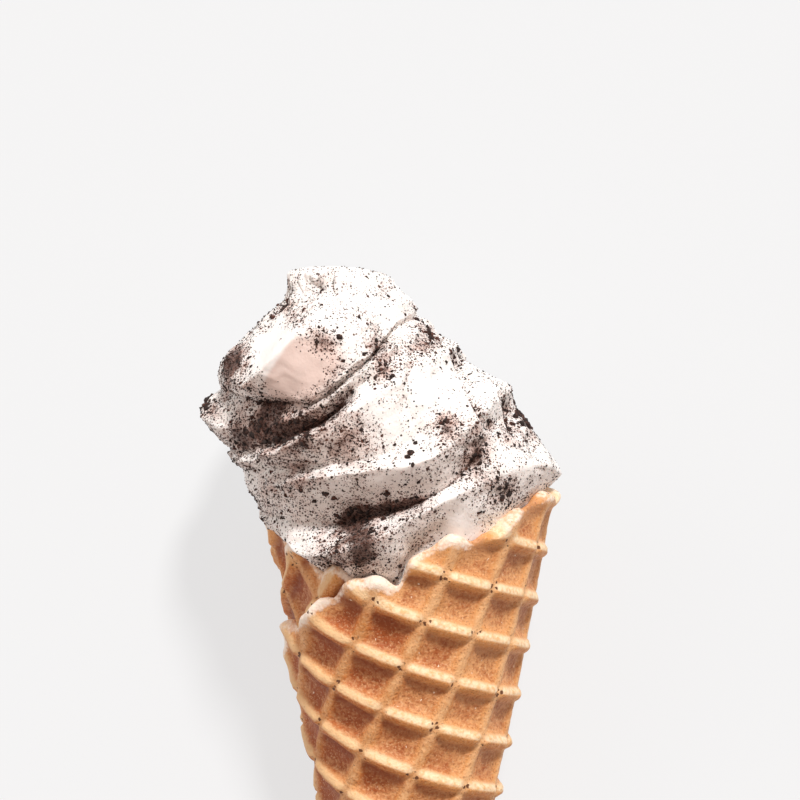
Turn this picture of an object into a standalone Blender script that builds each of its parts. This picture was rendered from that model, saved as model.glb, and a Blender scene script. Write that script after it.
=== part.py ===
"""Soft ice cream with biscuit crumbs, swirled into a rolled waffle cone that lies on its back.

Everything is first modelled upright in the cone's own frame: the middle of the cone is the Y axis,
its sharp geometric tip is the origin, +X is to the right and +Z is the side that faces up at rest.
Lengths are in millimetres until place_lying_down turns and scales the meshes to metres.
"""
import math

import bmesh
import bpy
import numpy as np
from mathutils import Matrix

MM = 0.001

# Rolled wafer: a round of baked batter, rolled so that its far side is the mouth
HALF_ANGLE = math.radians(11.2)      # between the cone's middle line and its side
WAFER_LENGTH = 162.0                 # from the tip, along the side, to the highest point of the edge
SEAM_DROP = 21.0                     # how much lower the edge is where the sheet crosses itself
PEAK_TURN = 153.0                    # angle round the cone of the edge's highest point, degrees
LAYER = 1.5                          # thickness of one layer between ribs
WALL = 3.0                           # two layers, at the mouth
HOLLOW_ROOM = 2.0                    # half the width of the hollow's blunt bottom
NOSE_RADIUS = 3.0                    # blunt end of the cone
EDGE_ROUNDING = 0.7                  # of the baked edge

# Square grid of ribs, pressed on the flat sheet before it is rolled
CELL_ACROSS = 11.2
CELL_ALONG = 10.3
GRID_TURN = math.radians(-21.1)      # of the rows, on the flat sheet
GRID_SKEW = math.radians(-3.6)
GRID_START = (-9.15, 159.6)          # one crossing, on the flat sheet, from the tip
RIB_WIDTH = 3.6
RIB_HEIGHT = 1.1
RIB_BULB = 1.8                       # how far a rib's end swells past the edge of the sheet

# Places where the baked edge is chipped: angle round the cone, depth and half-width in degrees
EDGE_CHIPS = (
    (-12.0, 5.0, 11.0),
    (23.0, 2.6, 3.5),
    (42.0, 2.2, 9.0),
    (104.0, 2.0, 8.0),
    (198.0, 2.6, 10.0),
    (262.0, 1.8, 7.0),
    (318.0, 1.6, 5.0),
)

# Ice cream: wraps of the swirl, each a tilted, lipped round between its left and right ends.
# name: (left end x, y), (right end x, y), middle z, half depth, height above and below its lip
WRAPS = {
    "foot": ((-23.0, 143.5), (31.0, 157.0), 0.0, 27.0, 9.0, 8.0),
    "second": ((-33.0, 153.5), (25.0, 173.0), -3.5, 35.0, 8.0, 9.0),
    "third": ((-33.5, 161.5), (18.0, 182.0), -4.0, 36.0, 9.0, 7.0),
    "fourth": ((-42.5, 170.0), (12.0, 187.0), -6.0, 31.0, 9.0, 7.0),
    "head": ((-39.0, 182.0), (5.0, 191.0), 0.0, 23.0, 12.0, 6.0),
    "crown": ((-26.5, 199.0), (0.5, 195.0), -1.0, 14.0, 7.5, 6.0),
}
WRAP_WAVES = ((2, 0.035), (3, 0.030), (5, 0.018))   # waves round a wrap and their share of its width
WAVE_SHIFT = 1.7                     # how far, in radians, the waves turn from one wrap to the next
# Section of a wrap, from its top to its underside: share of the reach, and of the height above the lip
# (+) or of the depth below it (-)
WRAP_SECTION = (
    (0.30, 1.00), (0.55, 0.86), (0.75, 0.62), (0.90, 0.30), (1.00, 0.0),
    (0.97, -0.12), (0.88, -0.30), (0.72, -0.62), (0.50, -0.90), (0.25, -1.00),
)

# Smooth lobes pushed out between the wraps: centre and half sizes along X, Y and Z
LOBES = {
    "body": ((2.0, 163.0, -3.0), (25.0, 26.0, 29.0)),
    "shoulder": ((8.0, 174.0, -2.0), (14.5, 13.5, 22.0)),
    "right_lobe": ((23.5, 161.5, 0.0), (9.5, 11.0, 17.0)),
    "left_tip": ((-38.0, 172.5, 4.0), (6.5, 5.0, 9.0)),
    "left_underside": ((-35.0, 168.0, 6.0), (7.5, 5.5, 12.0)),
    "nib": ((-21.5, 201.0, 2.0), (3.2, 4.2, 4.0)),
    "resting_back": ((-2.0, 168.0, -24.0), (19.0, 14.0, 14.5)),
}

# Room between the ice cream and the wafer, and the level that the ice cream fills the cone from
CLEARANCE = 0.5
RIM_CLEARANCE = 1.4
OVERHANG = 3.5                       # how far the ice cream may hang over the wafer's edge
OVERHANG_SLOPE = 4.0                 # stretch over which the room widens below the overhang
ROOM_SPREAD = 14.0
ROOM_FOOT = 0.1                      # where the room starts, as a share of the way to the edge
FILL_START = 40.0
FILL_END = 152.0
TABLE_BLOCK = (0.3, 0.4, 0.1)        # metres; its top is the level that the object rests on
TABLE_MIDDLE = (0.0, 0.1, -0.05)

# How the object lies: tilt of its middle line, and the place of the cone's geometric tip, in mm
REST_TILT = math.radians(11.2)
TIP_PLACE = (5.76, -106.94, 1.9)

# Mesh fineness
AROUND = 264
WAFER_ROWS = 140
NOSE_ROWS = 6
NOSE_FADE = 12.0                     # stretch over which ribs and layers grow out of the nose
INNER_ROWS = 10
ROOM_AROUND = 120
ROOM_ROWS = 4
WRAP_AROUND = 72
LOBE_SIDES = 48
LOBE_RINGS = 24
FILL_SIDES = 96
SHARP_EDGE = math.radians(40.0)
WAFER_FACES = 5600
CREAM_VOXEL = 1.5
CREAM_FACES = 2600


def clear_scene():
    for item in list(bpy.data.objects):
        bpy.data.objects.remove(item)


def linear(channel):
    """One 0-255 sRGB value as the linear value that a shader takes."""
    value = channel / 255.0
    return value / 12.92 if value <= 0.04045 else ((value + 0.055) / 1.055) ** 2.4


def food_material(name, colour, roughness):
    material = bpy.data.materials.new(name)
    material.use_nodes = True
    shader = material.node_tree.nodes["Principled BSDF"]
    shader.inputs["Base Color"].default_value = (*[linear(c) for c in colour], 1.0)
    shader.inputs["Roughness"].default_value = roughness
    shader.inputs["Metallic"].default_value = 0.0
    material.diffuse_color = shader.inputs["Base Color"].default_value
    return material


# The wafer ---------------------------------------------------------------------------------------

def smooth_step(x):
    x = np.clip(x, 0.0, 1.0)
    return x * x * (3.0 - 2.0 * x)


def rib_relief(turn, slant):
    """Height of the ribs, 0 to 1, at an angle along the rolled sheet and a distance from its tip."""
    flat_angle = np.radians(turn) * math.sin(HALF_ANGLE)
    x = slant * np.sin(flat_angle) - GRID_START[0]
    y = slant * np.cos(flat_angle) - GRID_START[1]
    lean = GRID_TURN + GRID_SKEW
    spread = math.cos(GRID_SKEW)
    along_row = (x * math.cos(lean) + y * math.sin(lean)) / (CELL_ACROSS * spread)
    across_rows = (y * math.cos(GRID_TURN) - x * math.sin(GRID_TURN)) / (CELL_ALONG * spread)
    to_column = np.abs(along_row - np.round(along_row)) * CELL_ACROSS
    to_row = np.abs(across_rows - np.round(across_rows)) * CELL_ALONG
    ribs = [1.0 - smooth_step(2.0 * gap / RIB_WIDTH) for gap in (to_column, to_row)]
    return np.maximum(*ribs)


def edge_slant(turn, position):
    """Distance from the tip to the sheet's edge, for an angle along the sheet."""
    half_turns = (turn - PEAK_TURN) / 180.0
    edge = WAFER_LENGTH - SEAM_DROP * half_turns ** 2
    for place, depth, reach in EDGE_CHIPS:
        away = (position - place + 180.0) % 360.0 - 180.0
        main_edge = turn > PEAK_TURN - 180.0
        edge = edge - np.where(main_edge, depth * np.exp(-(away / reach) ** 2), 0.0)
    return edge + RIB_BULB * (rib_relief(turn, edge) - 0.5)


def ring_points(position, radius, height):
    angle = np.radians(position)
    height = height + np.zeros_like(angle)
    return np.stack([radius * np.sin(angle), height, radius * np.cos(angle)], axis=-1)


def cone_points(position, slant, lift):
    """Points at a distance lift outside the plain cone."""
    radius = slant * math.sin(HALF_ANGLE) + lift * math.cos(HALF_ANGLE)
    height = slant * math.cos(HALF_ANGLE) - lift * math.sin(HALF_ANGLE)
    return ring_points(position, radius, height)


def wafer_rings():
    """Rings of points from the nose, up the outside, over the edge and down to the hollow's bottom."""
    position = PEAK_TURN - 180.0 + 360.0 * np.arange(AROUND) / AROUND
    edge = edge_slant(position, position)
    tail_edge = edge_slant(position - 360.0, position)
    nose_slant = NOSE_RADIUS / math.tan(HALF_ANGLE)
    rings = []
    for step in range(1, NOSE_ROWS):
        sweep = (math.pi / 2 - HALF_ANGLE) * step / NOSE_ROWS
        height = NOSE_RADIUS / math.sin(HALF_ANGLE) - NOSE_RADIUS * math.cos(sweep)
        rings.append(ring_points(position, NOSE_RADIUS * math.sin(sweep), height))
    for row in range(WAFER_ROWS + 1):
        slant = nose_slant + (edge - nose_slant) * row / WAFER_ROWS
        covered = smooth_step((tail_edge - slant) / EDGE_ROUNDING + 0.5)
        sheet = np.where(covered > 0.5, position - 360.0, position)
        lift = LAYER * (covered - position / 360.0) + RIB_HEIGHT * rib_relief(sheet, slant)
        lift = lift * smooth_step((slant - nose_slant) / NOSE_FADE)
        lift = lift - (EDGE_ROUNDING if row == WAFER_ROWS else 0.0)
        rings.append(cone_points(position, slant, lift))
    hollow_start = (WALL + HOLLOW_ROOM) / math.tan(HALF_ANGLE)
    for row in range(INNER_ROWS + 1):
        slant = edge + (hollow_start - edge) * row / INNER_ROWS
        rounding = EDGE_ROUNDING if row == 0 else 0.0
        rings.append(cone_points(position, slant, rounding - WALL))
    return rings


def wafer_room_rings():
    """Rings round the space that belongs to the wafer, wide below the edge, where cream can't hang."""
    position = PEAK_TURN - 180.0 + 360.0 * np.arange(ROOM_AROUND) / ROOM_AROUND
    edge = edge_slant(position, position)
    tail_edge = edge_slant(position - 360.0, position)
    rings = []
    widest = edge - OVERHANG - OVERHANG_SLOPE
    for slant, spread in ((edge * ROOM_FOOT, ROOM_SPREAD), (widest, ROOM_SPREAD),
                          (edge - OVERHANG, 0.0), (edge, 0.0)):
        covered = np.where(tail_edge + RIB_WIDTH > slant, 1.0, 0.0)
        lift = LAYER * (covered - position / 360.0) + RIB_HEIGHT + CLEARANCE + spread
        rings.append(cone_points(position, slant, lift))
    rings.append(cone_points(position, edge + RIM_CLEARANCE, 0.0))
    hollow_start = (WALL + HOLLOW_ROOM) / math.tan(HALF_ANGLE)
    for row in range(ROOM_ROWS + 1):
        slant = edge + RIM_CLEARANCE + (hollow_start - edge) * row / ROOM_ROWS
        rings.append(cone_points(position, slant, -WALL - CLEARANCE))
    return rings


def skin_rings(name, rings):
    """A closed mesh through rings of points, with a pole at each end."""
    mesh = bpy.data.meshes.new(name)
    builder = bmesh.new()
    loops = [[builder.verts.new(point) for point in ring] for ring in rings]
    for lower, upper in zip(loops, loops[1:]):
        for i in range(len(lower)):
            k = (i + 1) % len(lower)
            builder.faces.new((lower[i], lower[k], upper[k], upper[i]))
    for loop in (loops[0], loops[-1]):
        middle = builder.verts.new(np.mean([vert.co for vert in loop], axis=0))
        for i in range(len(loop)):
            builder.faces.new((middle, loop[i], loop[(i + 1) % len(loop)]))
    bmesh.ops.recalc_face_normals(builder, faces=builder.faces)
    builder.to_mesh(mesh)
    builder.free()
    return mesh


def add_object(name, mesh):
    item = bpy.data.objects.new(name, mesh)
    bpy.context.collection.objects.link(item)
    return item


def add_decimate(item, faces):
    """Thin the mesh to about the given number of triangles, keeping its ridges."""
    modifier = item.modifiers.new("thin", "DECIMATE")
    triangles = sum(len(face.vertices) - 2 for face in item.data.polygons)
    modifier.ratio = min(1.0, faces / triangles)
    return modifier


def make_wafer():
    wafer = add_object("waffle_cone", skin_rings("waffle_cone", wafer_rings()))
    wafer.data.materials.append(food_material("baked_wafer", (222, 168, 112), 0.62))
    return wafer


# The ice cream -----------------------------------------------------------------------------------

def wrap_rings(left, right, middle_z, half_depth, rise, fall, index):
    """One wrap of the swirl: a tilted lens whose thin lip hangs a little over the wrap below."""
    left = np.array(left)
    right = np.array(right)
    middle = (left + right) / 2
    half_width = np.hypot(*(right - left)) / 2
    tilt = math.atan2(right[1] - left[1], right[0] - left[0])
    around = np.linspace(0.0, 2 * math.pi, WRAP_AROUND, endpoint=False)
    waves = sum(share * np.cos(count * around + WAVE_SHIFT * index + count)
                for count, share in WRAP_WAVES)
    rings = []
    for share, level in WRAP_SECTION:
        up = level * (rise if level > 0.0 else fall)
        reach = share * (1.0 + waves)
        across = half_width * reach * np.cos(around)
        deep = half_depth * reach * np.sin(around)
        x = middle[0] + across * math.cos(tilt) - up * math.sin(tilt)
        y = middle[1] + across * math.sin(tilt) + up * math.cos(tilt)
        rings.append(np.stack([x, y, middle_z + deep], axis=-1))
    return rings


def make_cream():
    """Wraps, lobes and the filling of the cone, melted together into one body."""
    builder = bmesh.new()
    for index, wrap in enumerate(WRAPS.values()):
        builder.from_mesh(skin_rings("wrap", wrap_rings(*wrap, index)))
    for centre, size in LOBES.values():
        place = Matrix.Translation(centre) @ Matrix.Diagonal((*size, 1.0))
        bmesh.ops.create_uvsphere(builder, u_segments=LOBE_SIDES, v_segments=LOBE_RINGS, radius=1.0,
                                  matrix=place)
    fill_start = FILL_START * math.cos(HALF_ANGLE)
    radii = [height * math.tan(HALF_ANGLE) - 0.5 * WALL for height in (fill_start, FILL_END)]
    middle = Matrix.Translation((0.0, (fill_start + FILL_END) / 2, 0.0))
    upright = Matrix.Rotation(math.radians(-90.0), 4, "X")
    bmesh.ops.create_cone(builder, cap_ends=True, segments=FILL_SIDES, radius1=radii[0],
                          radius2=radii[1], depth=FILL_END - fill_start, matrix=middle @ upright)
    mesh = bpy.data.meshes.new("ice_cream")
    builder.to_mesh(mesh)
    builder.free()
    cream = add_object("ice_cream", mesh)
    cream.data.materials.append(food_material("cookies_and_cream", (243, 236, 232), 0.45))
    return cream


def make_cutters():
    """Guides that keep the ice cream clear of the wafer and flat where it rests."""
    shell = add_object("wafer_room", skin_rings("wafer_room", wafer_room_rings()))
    builder = bmesh.new()
    bmesh.ops.create_cube(builder, size=1.0)
    mesh = bpy.data.meshes.new("table_room")
    builder.to_mesh(mesh)
    builder.free()
    table = add_object("table_room", mesh)
    for guide in (shell, table):
        guide.hide_render = True
        guide.display_type = "WIRE"
    return shell, table


def apply_modifiers(item):
    """Replace the object's mesh with what its modifiers make of it."""
    evaluated = item.evaluated_get(bpy.context.evaluated_depsgraph_get())
    mesh = bpy.data.meshes.new_from_object(evaluated)
    item.modifiers.clear()
    item.data = mesh


def drop_bubbles(mesh):
    """Keep only the largest connected body, without trapped hollows or cut-off crumbs."""
    builder = bmesh.new()
    builder.from_mesh(mesh)
    unseen = set(builder.verts)
    bodies = []
    while unseen:
        body = []
        front = [unseen.pop()]
        while front:
            vert = front.pop()
            body.append(vert)
            neighbours = {edge.other_vert(vert) for edge in vert.link_edges} & unseen
            unseen -= neighbours
            front.extend(neighbours)
        bodies.append(body)
    bodies.sort(key=len)
    for body in bodies[:-1]:
        bmesh.ops.delete(builder, geom=body, context="VERTS")
    builder.to_mesh(mesh)
    builder.free()


def place_lying_down(item):
    """Turn a mesh from the cone's upright frame to how the cone lies, in metres."""
    scale = Matrix.Diagonal((MM, MM, MM, 1.0))
    turn = Matrix.Rotation(REST_TILT, 4, "X")
    shift = Matrix.Translation([MM * value for value in TIP_PLACE])
    item.data.transform(shift @ turn @ scale)


def main():
    clear_scene()
    wafer = make_wafer()
    cream = make_cream()
    shell, table = make_cutters()
    for item in (wafer, cream, shell):
        place_lying_down(item)
    table.data.transform(Matrix.Translation(TABLE_MIDDLE) @ Matrix.Diagonal((*TABLE_BLOCK, 1.0)))
    add_decimate(wafer, WAFER_FACES)

    melt = cream.modifiers.new("melt", "REMESH")
    melt.mode = "VOXEL"
    melt.voxel_size = CREAM_VOXEL * MM
    apply_modifiers(cream)
    drop_bubbles(cream.data)
    add_decimate(cream, CREAM_FACES)
    for name, guide in (("wafer", shell), ("table", table)):
        cut = cream.modifiers.new(name, "BOOLEAN")
        cut.operation = "DIFFERENCE"
        cut.object = guide
    apply_modifiers(cream)
    drop_bubbles(cream.data)
    for item in (wafer, cream):
        item.data.shade_smooth()
        item.data.set_sharp_from_angle(angle=SHARP_EDGE)


main()
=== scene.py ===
# %% [markdown]
# # A cookies-and-cream cone, made in Blender
#
# The real thing is two foods: a wafer that was baked flat between two hot plates and rolled while it was
# still soft, and a swirl of frozen cream with crushed cocoa biscuits stirred into it. This notebook makes
# them the same way round: a flat round is pressed and rolled, the cream is laid in folds, and the crumbs
# are strewn last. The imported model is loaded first, because every piece has to sit where it says.

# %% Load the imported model
import math

import bpy
import numpy as np
from mathutils import Matrix, Vector


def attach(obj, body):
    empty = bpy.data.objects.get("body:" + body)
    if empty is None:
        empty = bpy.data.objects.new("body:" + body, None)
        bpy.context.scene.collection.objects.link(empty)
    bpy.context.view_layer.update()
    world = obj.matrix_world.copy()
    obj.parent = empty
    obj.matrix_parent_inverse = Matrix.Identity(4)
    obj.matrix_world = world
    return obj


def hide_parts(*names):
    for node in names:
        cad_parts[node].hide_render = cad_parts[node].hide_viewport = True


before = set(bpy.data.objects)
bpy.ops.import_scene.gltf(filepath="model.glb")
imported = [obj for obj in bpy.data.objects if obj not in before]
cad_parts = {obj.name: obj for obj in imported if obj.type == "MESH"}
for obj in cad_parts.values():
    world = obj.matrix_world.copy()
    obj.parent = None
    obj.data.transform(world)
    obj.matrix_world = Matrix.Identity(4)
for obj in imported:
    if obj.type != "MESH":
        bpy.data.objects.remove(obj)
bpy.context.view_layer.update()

MM = 0.001

# %% [markdown]
# ## Two small helpers
#
# Colours are picked as sRGB hex values, but a shader works in linear light, so one function turns them.
# A second one adds a node: it sets the node's options and then sets or links its inputs. Geometry trees
# and shader trees both use it.

# %% Colour and node helpers
def colour(hex_value):
    """A linear RGBA colour from an sRGB value such as 0xF5E6CC."""
    channels = [(hex_value >> shift & 255) / 255 for shift in (16, 8, 0)]
    return (*[c / 12.92 if c <= 0.04045 else ((c + 0.055) / 1.055) ** 2.4 for c in channels], 1.0)


def add(tree, kind, inputs=None, **settings):
    """Add a node to a tree, set its options, and set or link its inputs by name or number."""
    node = tree.nodes.new(kind)
    for name, value in settings.items():
        setattr(node, name, value)
    for key, value in (inputs or {}).items():
        if isinstance(value, bpy.types.NodeSocket):
            tree.links.new(value, node.inputs[key])
        else:
            node.inputs[key].default_value = value
    return node


print("0x808080 in linear light:", round(colour(0x808080)[0], 3))

# %% [markdown]
# ## A list of steps becomes nodes
#
# A tree for a shape or a finish is mostly small steps: add these, multiply those, slide from 0 to 1
# between two limits, go from one colour to another. Placed one by one, dozens of such nodes hide what
# they work out. So the steps are written as a list, and one function turns the list into nodes. Each
# step keeps its result under a name that later steps can use.

# %% From steps to nodes
def work_out(tree, known, steps):
    """Add a node for each step (name, what to do, terms), and keep its result by that name.

    A term is a number, a colour's hex value or the name of a known result. SLOPE takes a value smoothly
    from one range to another, 0 to 1 if no other is given. BLEND goes from one colour to the next. Any
    other word is an operation of Blender's Math node.
    """
    for name, doing, *terms in steps:
        terms = [known[term] if isinstance(term, str) else term for term in terms]
        if doing == "SLOPE":
            node = add(tree, "ShaderNodeMapRange", dict(enumerate(terms)), interpolation_type="SMOOTHSTEP")
        elif doing == "BLEND":
            share, *tones = terms
            first, second = (colour(tone) if isinstance(tone, int) else tone for tone in tones)
            node = add(tree, "ShaderNodeMix", {0: share, 6: first, 7: second}, data_type="RGBA")
        else:
            node = add(tree, "ShaderNodeMath", dict(enumerate(terms)), operation=doing)
        known[name] = node.outputs[2 if doing == "BLEND" else 0]


print("SLOPE and BLEND are two steps of our own; the rest are Blender's sums")

# %% [markdown]
# ## How the cone lies
#
# A cone is easiest to think about upright, in its own frame: its middle line is Y, its sharp tip is the
# origin, X is to the right and Z comes towards the side that we see. Lengths are millimetres. One matrix
# then lays everything on its back: it tilts the middle line by the cone's half angle, so that the cone's
# side lies along the table, and scales to metres.

# %% The upright frame and the lying one
HALF_ANGLE = math.radians(11.2)
TIP_PLACE = Vector((5.76, -106.94, 1.9))
turned = Matrix.Rotation(HALF_ANGLE, 4, "X")
lay_down = Matrix.Translation(TIP_PLACE * MM) @ turned @ Matrix.Diagonal((MM, MM, MM, 1.0))


def table_level(up):
    """The upright Z at which the table lies under the cone, at a height along its middle line."""
    return -(TIP_PLACE.z + up * math.sin(HALF_ANGLE)) / math.cos(HALF_ANGLE)


def finish_mesh(name, points, faces):
    """An object at the origin whose mesh has the given points and faces."""
    mesh = bpy.data.meshes.new(name)
    mesh.from_pydata(np.asarray(points).tolist(), [], faces)
    mesh.update()
    piece = bpy.data.objects.new(name, mesh)
    bpy.context.collection.objects.link(piece)
    return piece


print("the table is", round(-table_level(150.0), 1), "mm behind the middle line, 150 mm from the tip")

# %% [markdown]
# ## Camera, table and light
#
# The camera looks straight at the cone's middle line, so it looks down on the lying cone, from 60 cm with
# a long lens. It is rolled by less than a degree, as a camera in the hand is.

# %% Camera
VIEW_DISTANCE = 600.0
VIEW_WIDTH = 170.2  # millimetres that the view is wide at the cone's middle line
VIEW_MIDDLE = (-1.2, 175.64)  # what the middle of the view looks at, in the upright frame
VIEW_ROLL = math.radians(-0.7)
SENSOR = 36.0

lens = bpy.data.cameras.new("view")
lens.sensor_width = SENSOR
lens.lens = SENSOR * VIEW_DISTANCE / VIEW_WIDTH
camera = bpy.data.objects.new("view", lens)
bpy.context.collection.objects.link(camera)
place = lay_down @ Matrix.Translation((*VIEW_MIDDLE, VIEW_DISTANCE))
camera.matrix_world = Matrix.Translation(place.translation) @ turned @ Matrix.Rotation(VIEW_ROLL, 4, "Z")
bpy.context.scene.camera = camera
print("lens", round(lens.lens, 1), "mm")

# %% [markdown]
# The table is a plain sheet of matt white card, large enough to reach past every view. A white card in
# the light of a lamp would come out brighter beside the cone than in its shadow. This one is grey and
# glows a little by itself, as a lit table does in a studio, so that it stays evenly pale.

# %% Table
TABLE_REACH = 6.0  # metres from the middle to each side
table = finish_mesh("table", [(x * TABLE_REACH, y * TABLE_REACH, 0.0) for x, y in
                              ((-1, -1), (1, -1), (1, 1), (-1, 1))], [(0, 1, 2, 3)])
paint = bpy.data.materials.new("matt_white_card")
paint.use_nodes = True
card = paint.node_tree.nodes["Principled BSDF"].inputs
card["Base Color"].default_value = colour(0x777777)
card["Roughness"].default_value = 0.9
card["Specular IOR Level"].default_value = 0.0
card["Emission Color"].default_value = colour(0xD6D7D8)
card["Emission Strength"].default_value = 1.0
table.data.materials.append(paint)
print("table", 2 * TABLE_REACH, "m wide")

# %% [markdown]
# The key light comes from the ice cream's end, to the right and above, and a weak fill from the left. Both
# are sun lamps, whose angle says how soft their shadows are. The room is an even pale pink white, which
# fills the shadows as walls would.

# %% Lamps and room
LAMPS = {  # direction that it shines from, strength, softness in degrees
    "key": ((0.50, 1.60, 2.00), 3.1, 10.0),
    "left fill": ((-1.6, 0.6, 1.4), 0.35, 30.0),
}
for name, (where, strength, softness) in LAMPS.items():
    lamp = bpy.data.lights.new(name, "SUN")
    lamp.energy = strength
    lamp.angle = math.radians(softness)
    holder = bpy.data.objects.new(name, lamp)
    holder.rotation_euler = Vector(where).to_track_quat("Z", "Y").to_euler()
    bpy.context.collection.objects.link(holder)

room = bpy.data.worlds.new("white_room")
room.use_nodes = True
walls = room.node_tree.nodes["Background"].inputs
walls["Color"].default_value = colour(0xF0DDD2)
walls["Strength"].default_value = 0.56
bpy.context.scene.world = room
bpy.context.scene.view_settings.view_transform = "Standard"
print("lamps:", ", ".join(LAMPS))

# %% [markdown]
# ## The wafer, 1: a flat round of batter
#
# A rolled cone starts as a flat round with a square grid of ribs on it. A point of the rolled cone is a
# point of that flat round: its distance from the tip stays the same, and its angle round the cone is its
# angle on the flat sheet divided by the sine of the half angle. So the sheet is laid out flat first. Only
# its outline needs care: a long smooth edge that falls away on both sides of its peak, where the batter
# ran out, chipped and swelled.

# %% Outline of the flat sheet
WAFER_LENGTH = 162.0  # tip to the highest point of the edge
BULB_ROOM = 1.9  # the ribs' ends stand past the sheet's own edge by about this
SEAM_DROP = 21.0  # the edge is lower by this where the sheet crosses itself
PEAK_TURN = 153.0  # degrees round the cone of the highest point
TAIL_TURN = -338.0  # where the outer end of the sheet runs out at the tip
INNER_TURN = 378.0  # where the inner end is hidden in the ice cream
TURN_TO_FLAT = math.sin(HALF_ANGLE)
# Swells (+) and chips (-) of the edge: degrees along the sheet, millimetres, reach before and after
EDGE_SHAPE = (
    (-150, -2.5, 9, 5), (-118, 2.0, 14, 10), (-84, 5.0, 20, 14), (-50, -1.0, 6, 5), (-4, -4.6, 11, 2.4),
    (10, 1.0, 6, 8), (25, -1.7, 5, 6), (40, -1.2, 9, 7), (60, 1.6, 8, 12), (97, -1.8, 7, 9),
    (126, 1.2, 10, 7), (160, -1.6, 6, 12), (205, 1.4, 9, 9), (232, -2.0, 5, 8), (262, 1.2, 9, 7),
    (285, 2.4, 8, 6), (296, -1.2, 4, 3), (307, 2.4, 7, 6), (319, -1.8, 4, 3), (328, 2.2, 5, 6),
)


def edge_distance(turn):
    """Distance from the tip to the sheet's edge, at an angle along the sheet in degrees."""
    edge = WAFER_LENGTH - BULB_ROOM - SEAM_DROP * ((turn - PEAK_TURN) / 180.0) ** 2
    for where, height, before, after in EDGE_SHAPE:
        reach = np.where(turn < where, before, after)
        edge = edge + height * np.exp(-((turn - where) / reach) ** 2)
    return edge


print("edge in front:", round(float(edge_distance(np.array(0.0))), 1), "mm from the tip")

# %% [markdown]
# The sheet's mesh lines run along the ribs and are packed closer there, because a rib bends the surface
# most. Each face is kept if one of its corners lies inside the outline, and the corners that lie outside
# are moved in to the edge. That gives a clean edge without cutting any face.

# %% The grid of ribs and the flat sheet
CELL_ACROSS = 11.2  # rib to rib along a row
CELL_ALONG = 10.3  # row to row
GRID_TURN = math.radians(-21.1)
GRID_SKEW = math.radians(-3.6)
GRID_START = (-9.15, 159.6)
LINES_PER_CELL = 14
RIM_WIDTH = 5.0  # the edge's puffed rim fades out in this
COVER_FADE = 2.0  # the relief of a covered turn fades out in this, from half as far in
SHEET_START = 0.6  # no point of the sheet is closer to the tip than this
CROWDING = 0.45  # how much closer the mesh lines are at the ribs

row_way = np.array([math.cos(GRID_TURN), math.sin(GRID_TURN)]) * CELL_ACROSS
column_way = np.array([-math.sin(GRID_TURN + GRID_SKEW), math.cos(GRID_TURN + GRID_SKEW)]) * CELL_ALONG


def crowded(first_cell, last_cell):
    """Places of the mesh lines, counted in cells, from one rib to another."""
    steps = np.arange(first_cell * LINES_PER_CELL, last_cell * LINES_PER_CELL + 1) / LINES_PER_CELL
    return steps - CROWDING * np.sin(2 * math.pi * steps) / (2 * math.pi)


def flat_sheet():
    """Points of the flat sheet's middle plane, its faces, and what each point knows of its place."""
    along, up = np.meshgrid(crowded(-18, 20), crowded(-17, 4), indexing="xy")
    flat = np.array(GRID_START) + along[..., None] * row_way + up[..., None] * column_way
    distance = np.hypot(flat[..., 0], flat[..., 1])
    turn = np.degrees(np.arctan2(flat[..., 0], flat[..., 1])) / TURN_TO_FLAT
    edge = edge_distance(turn)
    inside = (distance <= edge) & (turn >= TAIL_TURN) & (turn <= INNER_TURN)
    rows, columns = inside.shape
    number = np.arange(rows * columns).reshape(rows, columns)
    corners = np.stack([number[:-1, :-1], number[:-1, 1:], number[1:, 1:], number[1:, :-1]], axis=-1)
    kept = corners.reshape(-1, 4)
    kept = kept[inside.ravel()[kept].any(axis=1)]
    turn_kept = np.clip(turn, TAIL_TURN, INNER_TURN)
    reach = np.minimum(distance, np.maximum(edge_distance(turn_kept), SHEET_START))
    angle = np.radians(turn_kept * TURN_TO_FLAT)
    points = np.stack([reach * np.sin(angle), reach * np.cos(angle)], axis=-1).reshape(-1, 2)
    near = 1.0 - np.clip((edge - distance) / RIM_WIDTH, 0.0, 1.0).ravel()
    cover = edge_distance(turn - 360.0) - distance
    under = (np.clip(cover / COVER_FADE - 0.5, 0.0, 1.0) * (turn - 360.0 > TAIL_TURN + 1.0)).ravel()
    used, kept = np.unique(kept, return_inverse=True)
    return points[used], kept.reshape(-1, 4), near[used], under[used]


middle_plane, sheet_faces, nearness, covered = flat_sheet()
print("flat sheet:", len(middle_plane), "points,", len(sheet_faces), "faces")

# %% [markdown]
# The sheet gets a top, an underside and a rounded edge between them. Each point carries numbers for the
# next step: `face` is +1 on the top, -1 underneath and in between round the edge, `push` is how far round
# the edge it has to go out, `near_edge` says how close it is to the edge, and `covered` whether the next
# turn lies over it. The thickness itself comes later, because it is larger at the ribs.

# %% Top, underside and edge
EDGE_STEPS = 6


def edge_loop(faces):
    """The outline's edges, each in the direction in which its one face runs."""
    sides = np.concatenate([faces[:, [i, (i + 1) % 4]] for i in range(4)])
    sides = sides[sides[:, 0] != sides[:, 1]]
    there = {tuple(side) for side in sides.tolist()}
    return [side for side in there if side[::-1] not in there]


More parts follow.
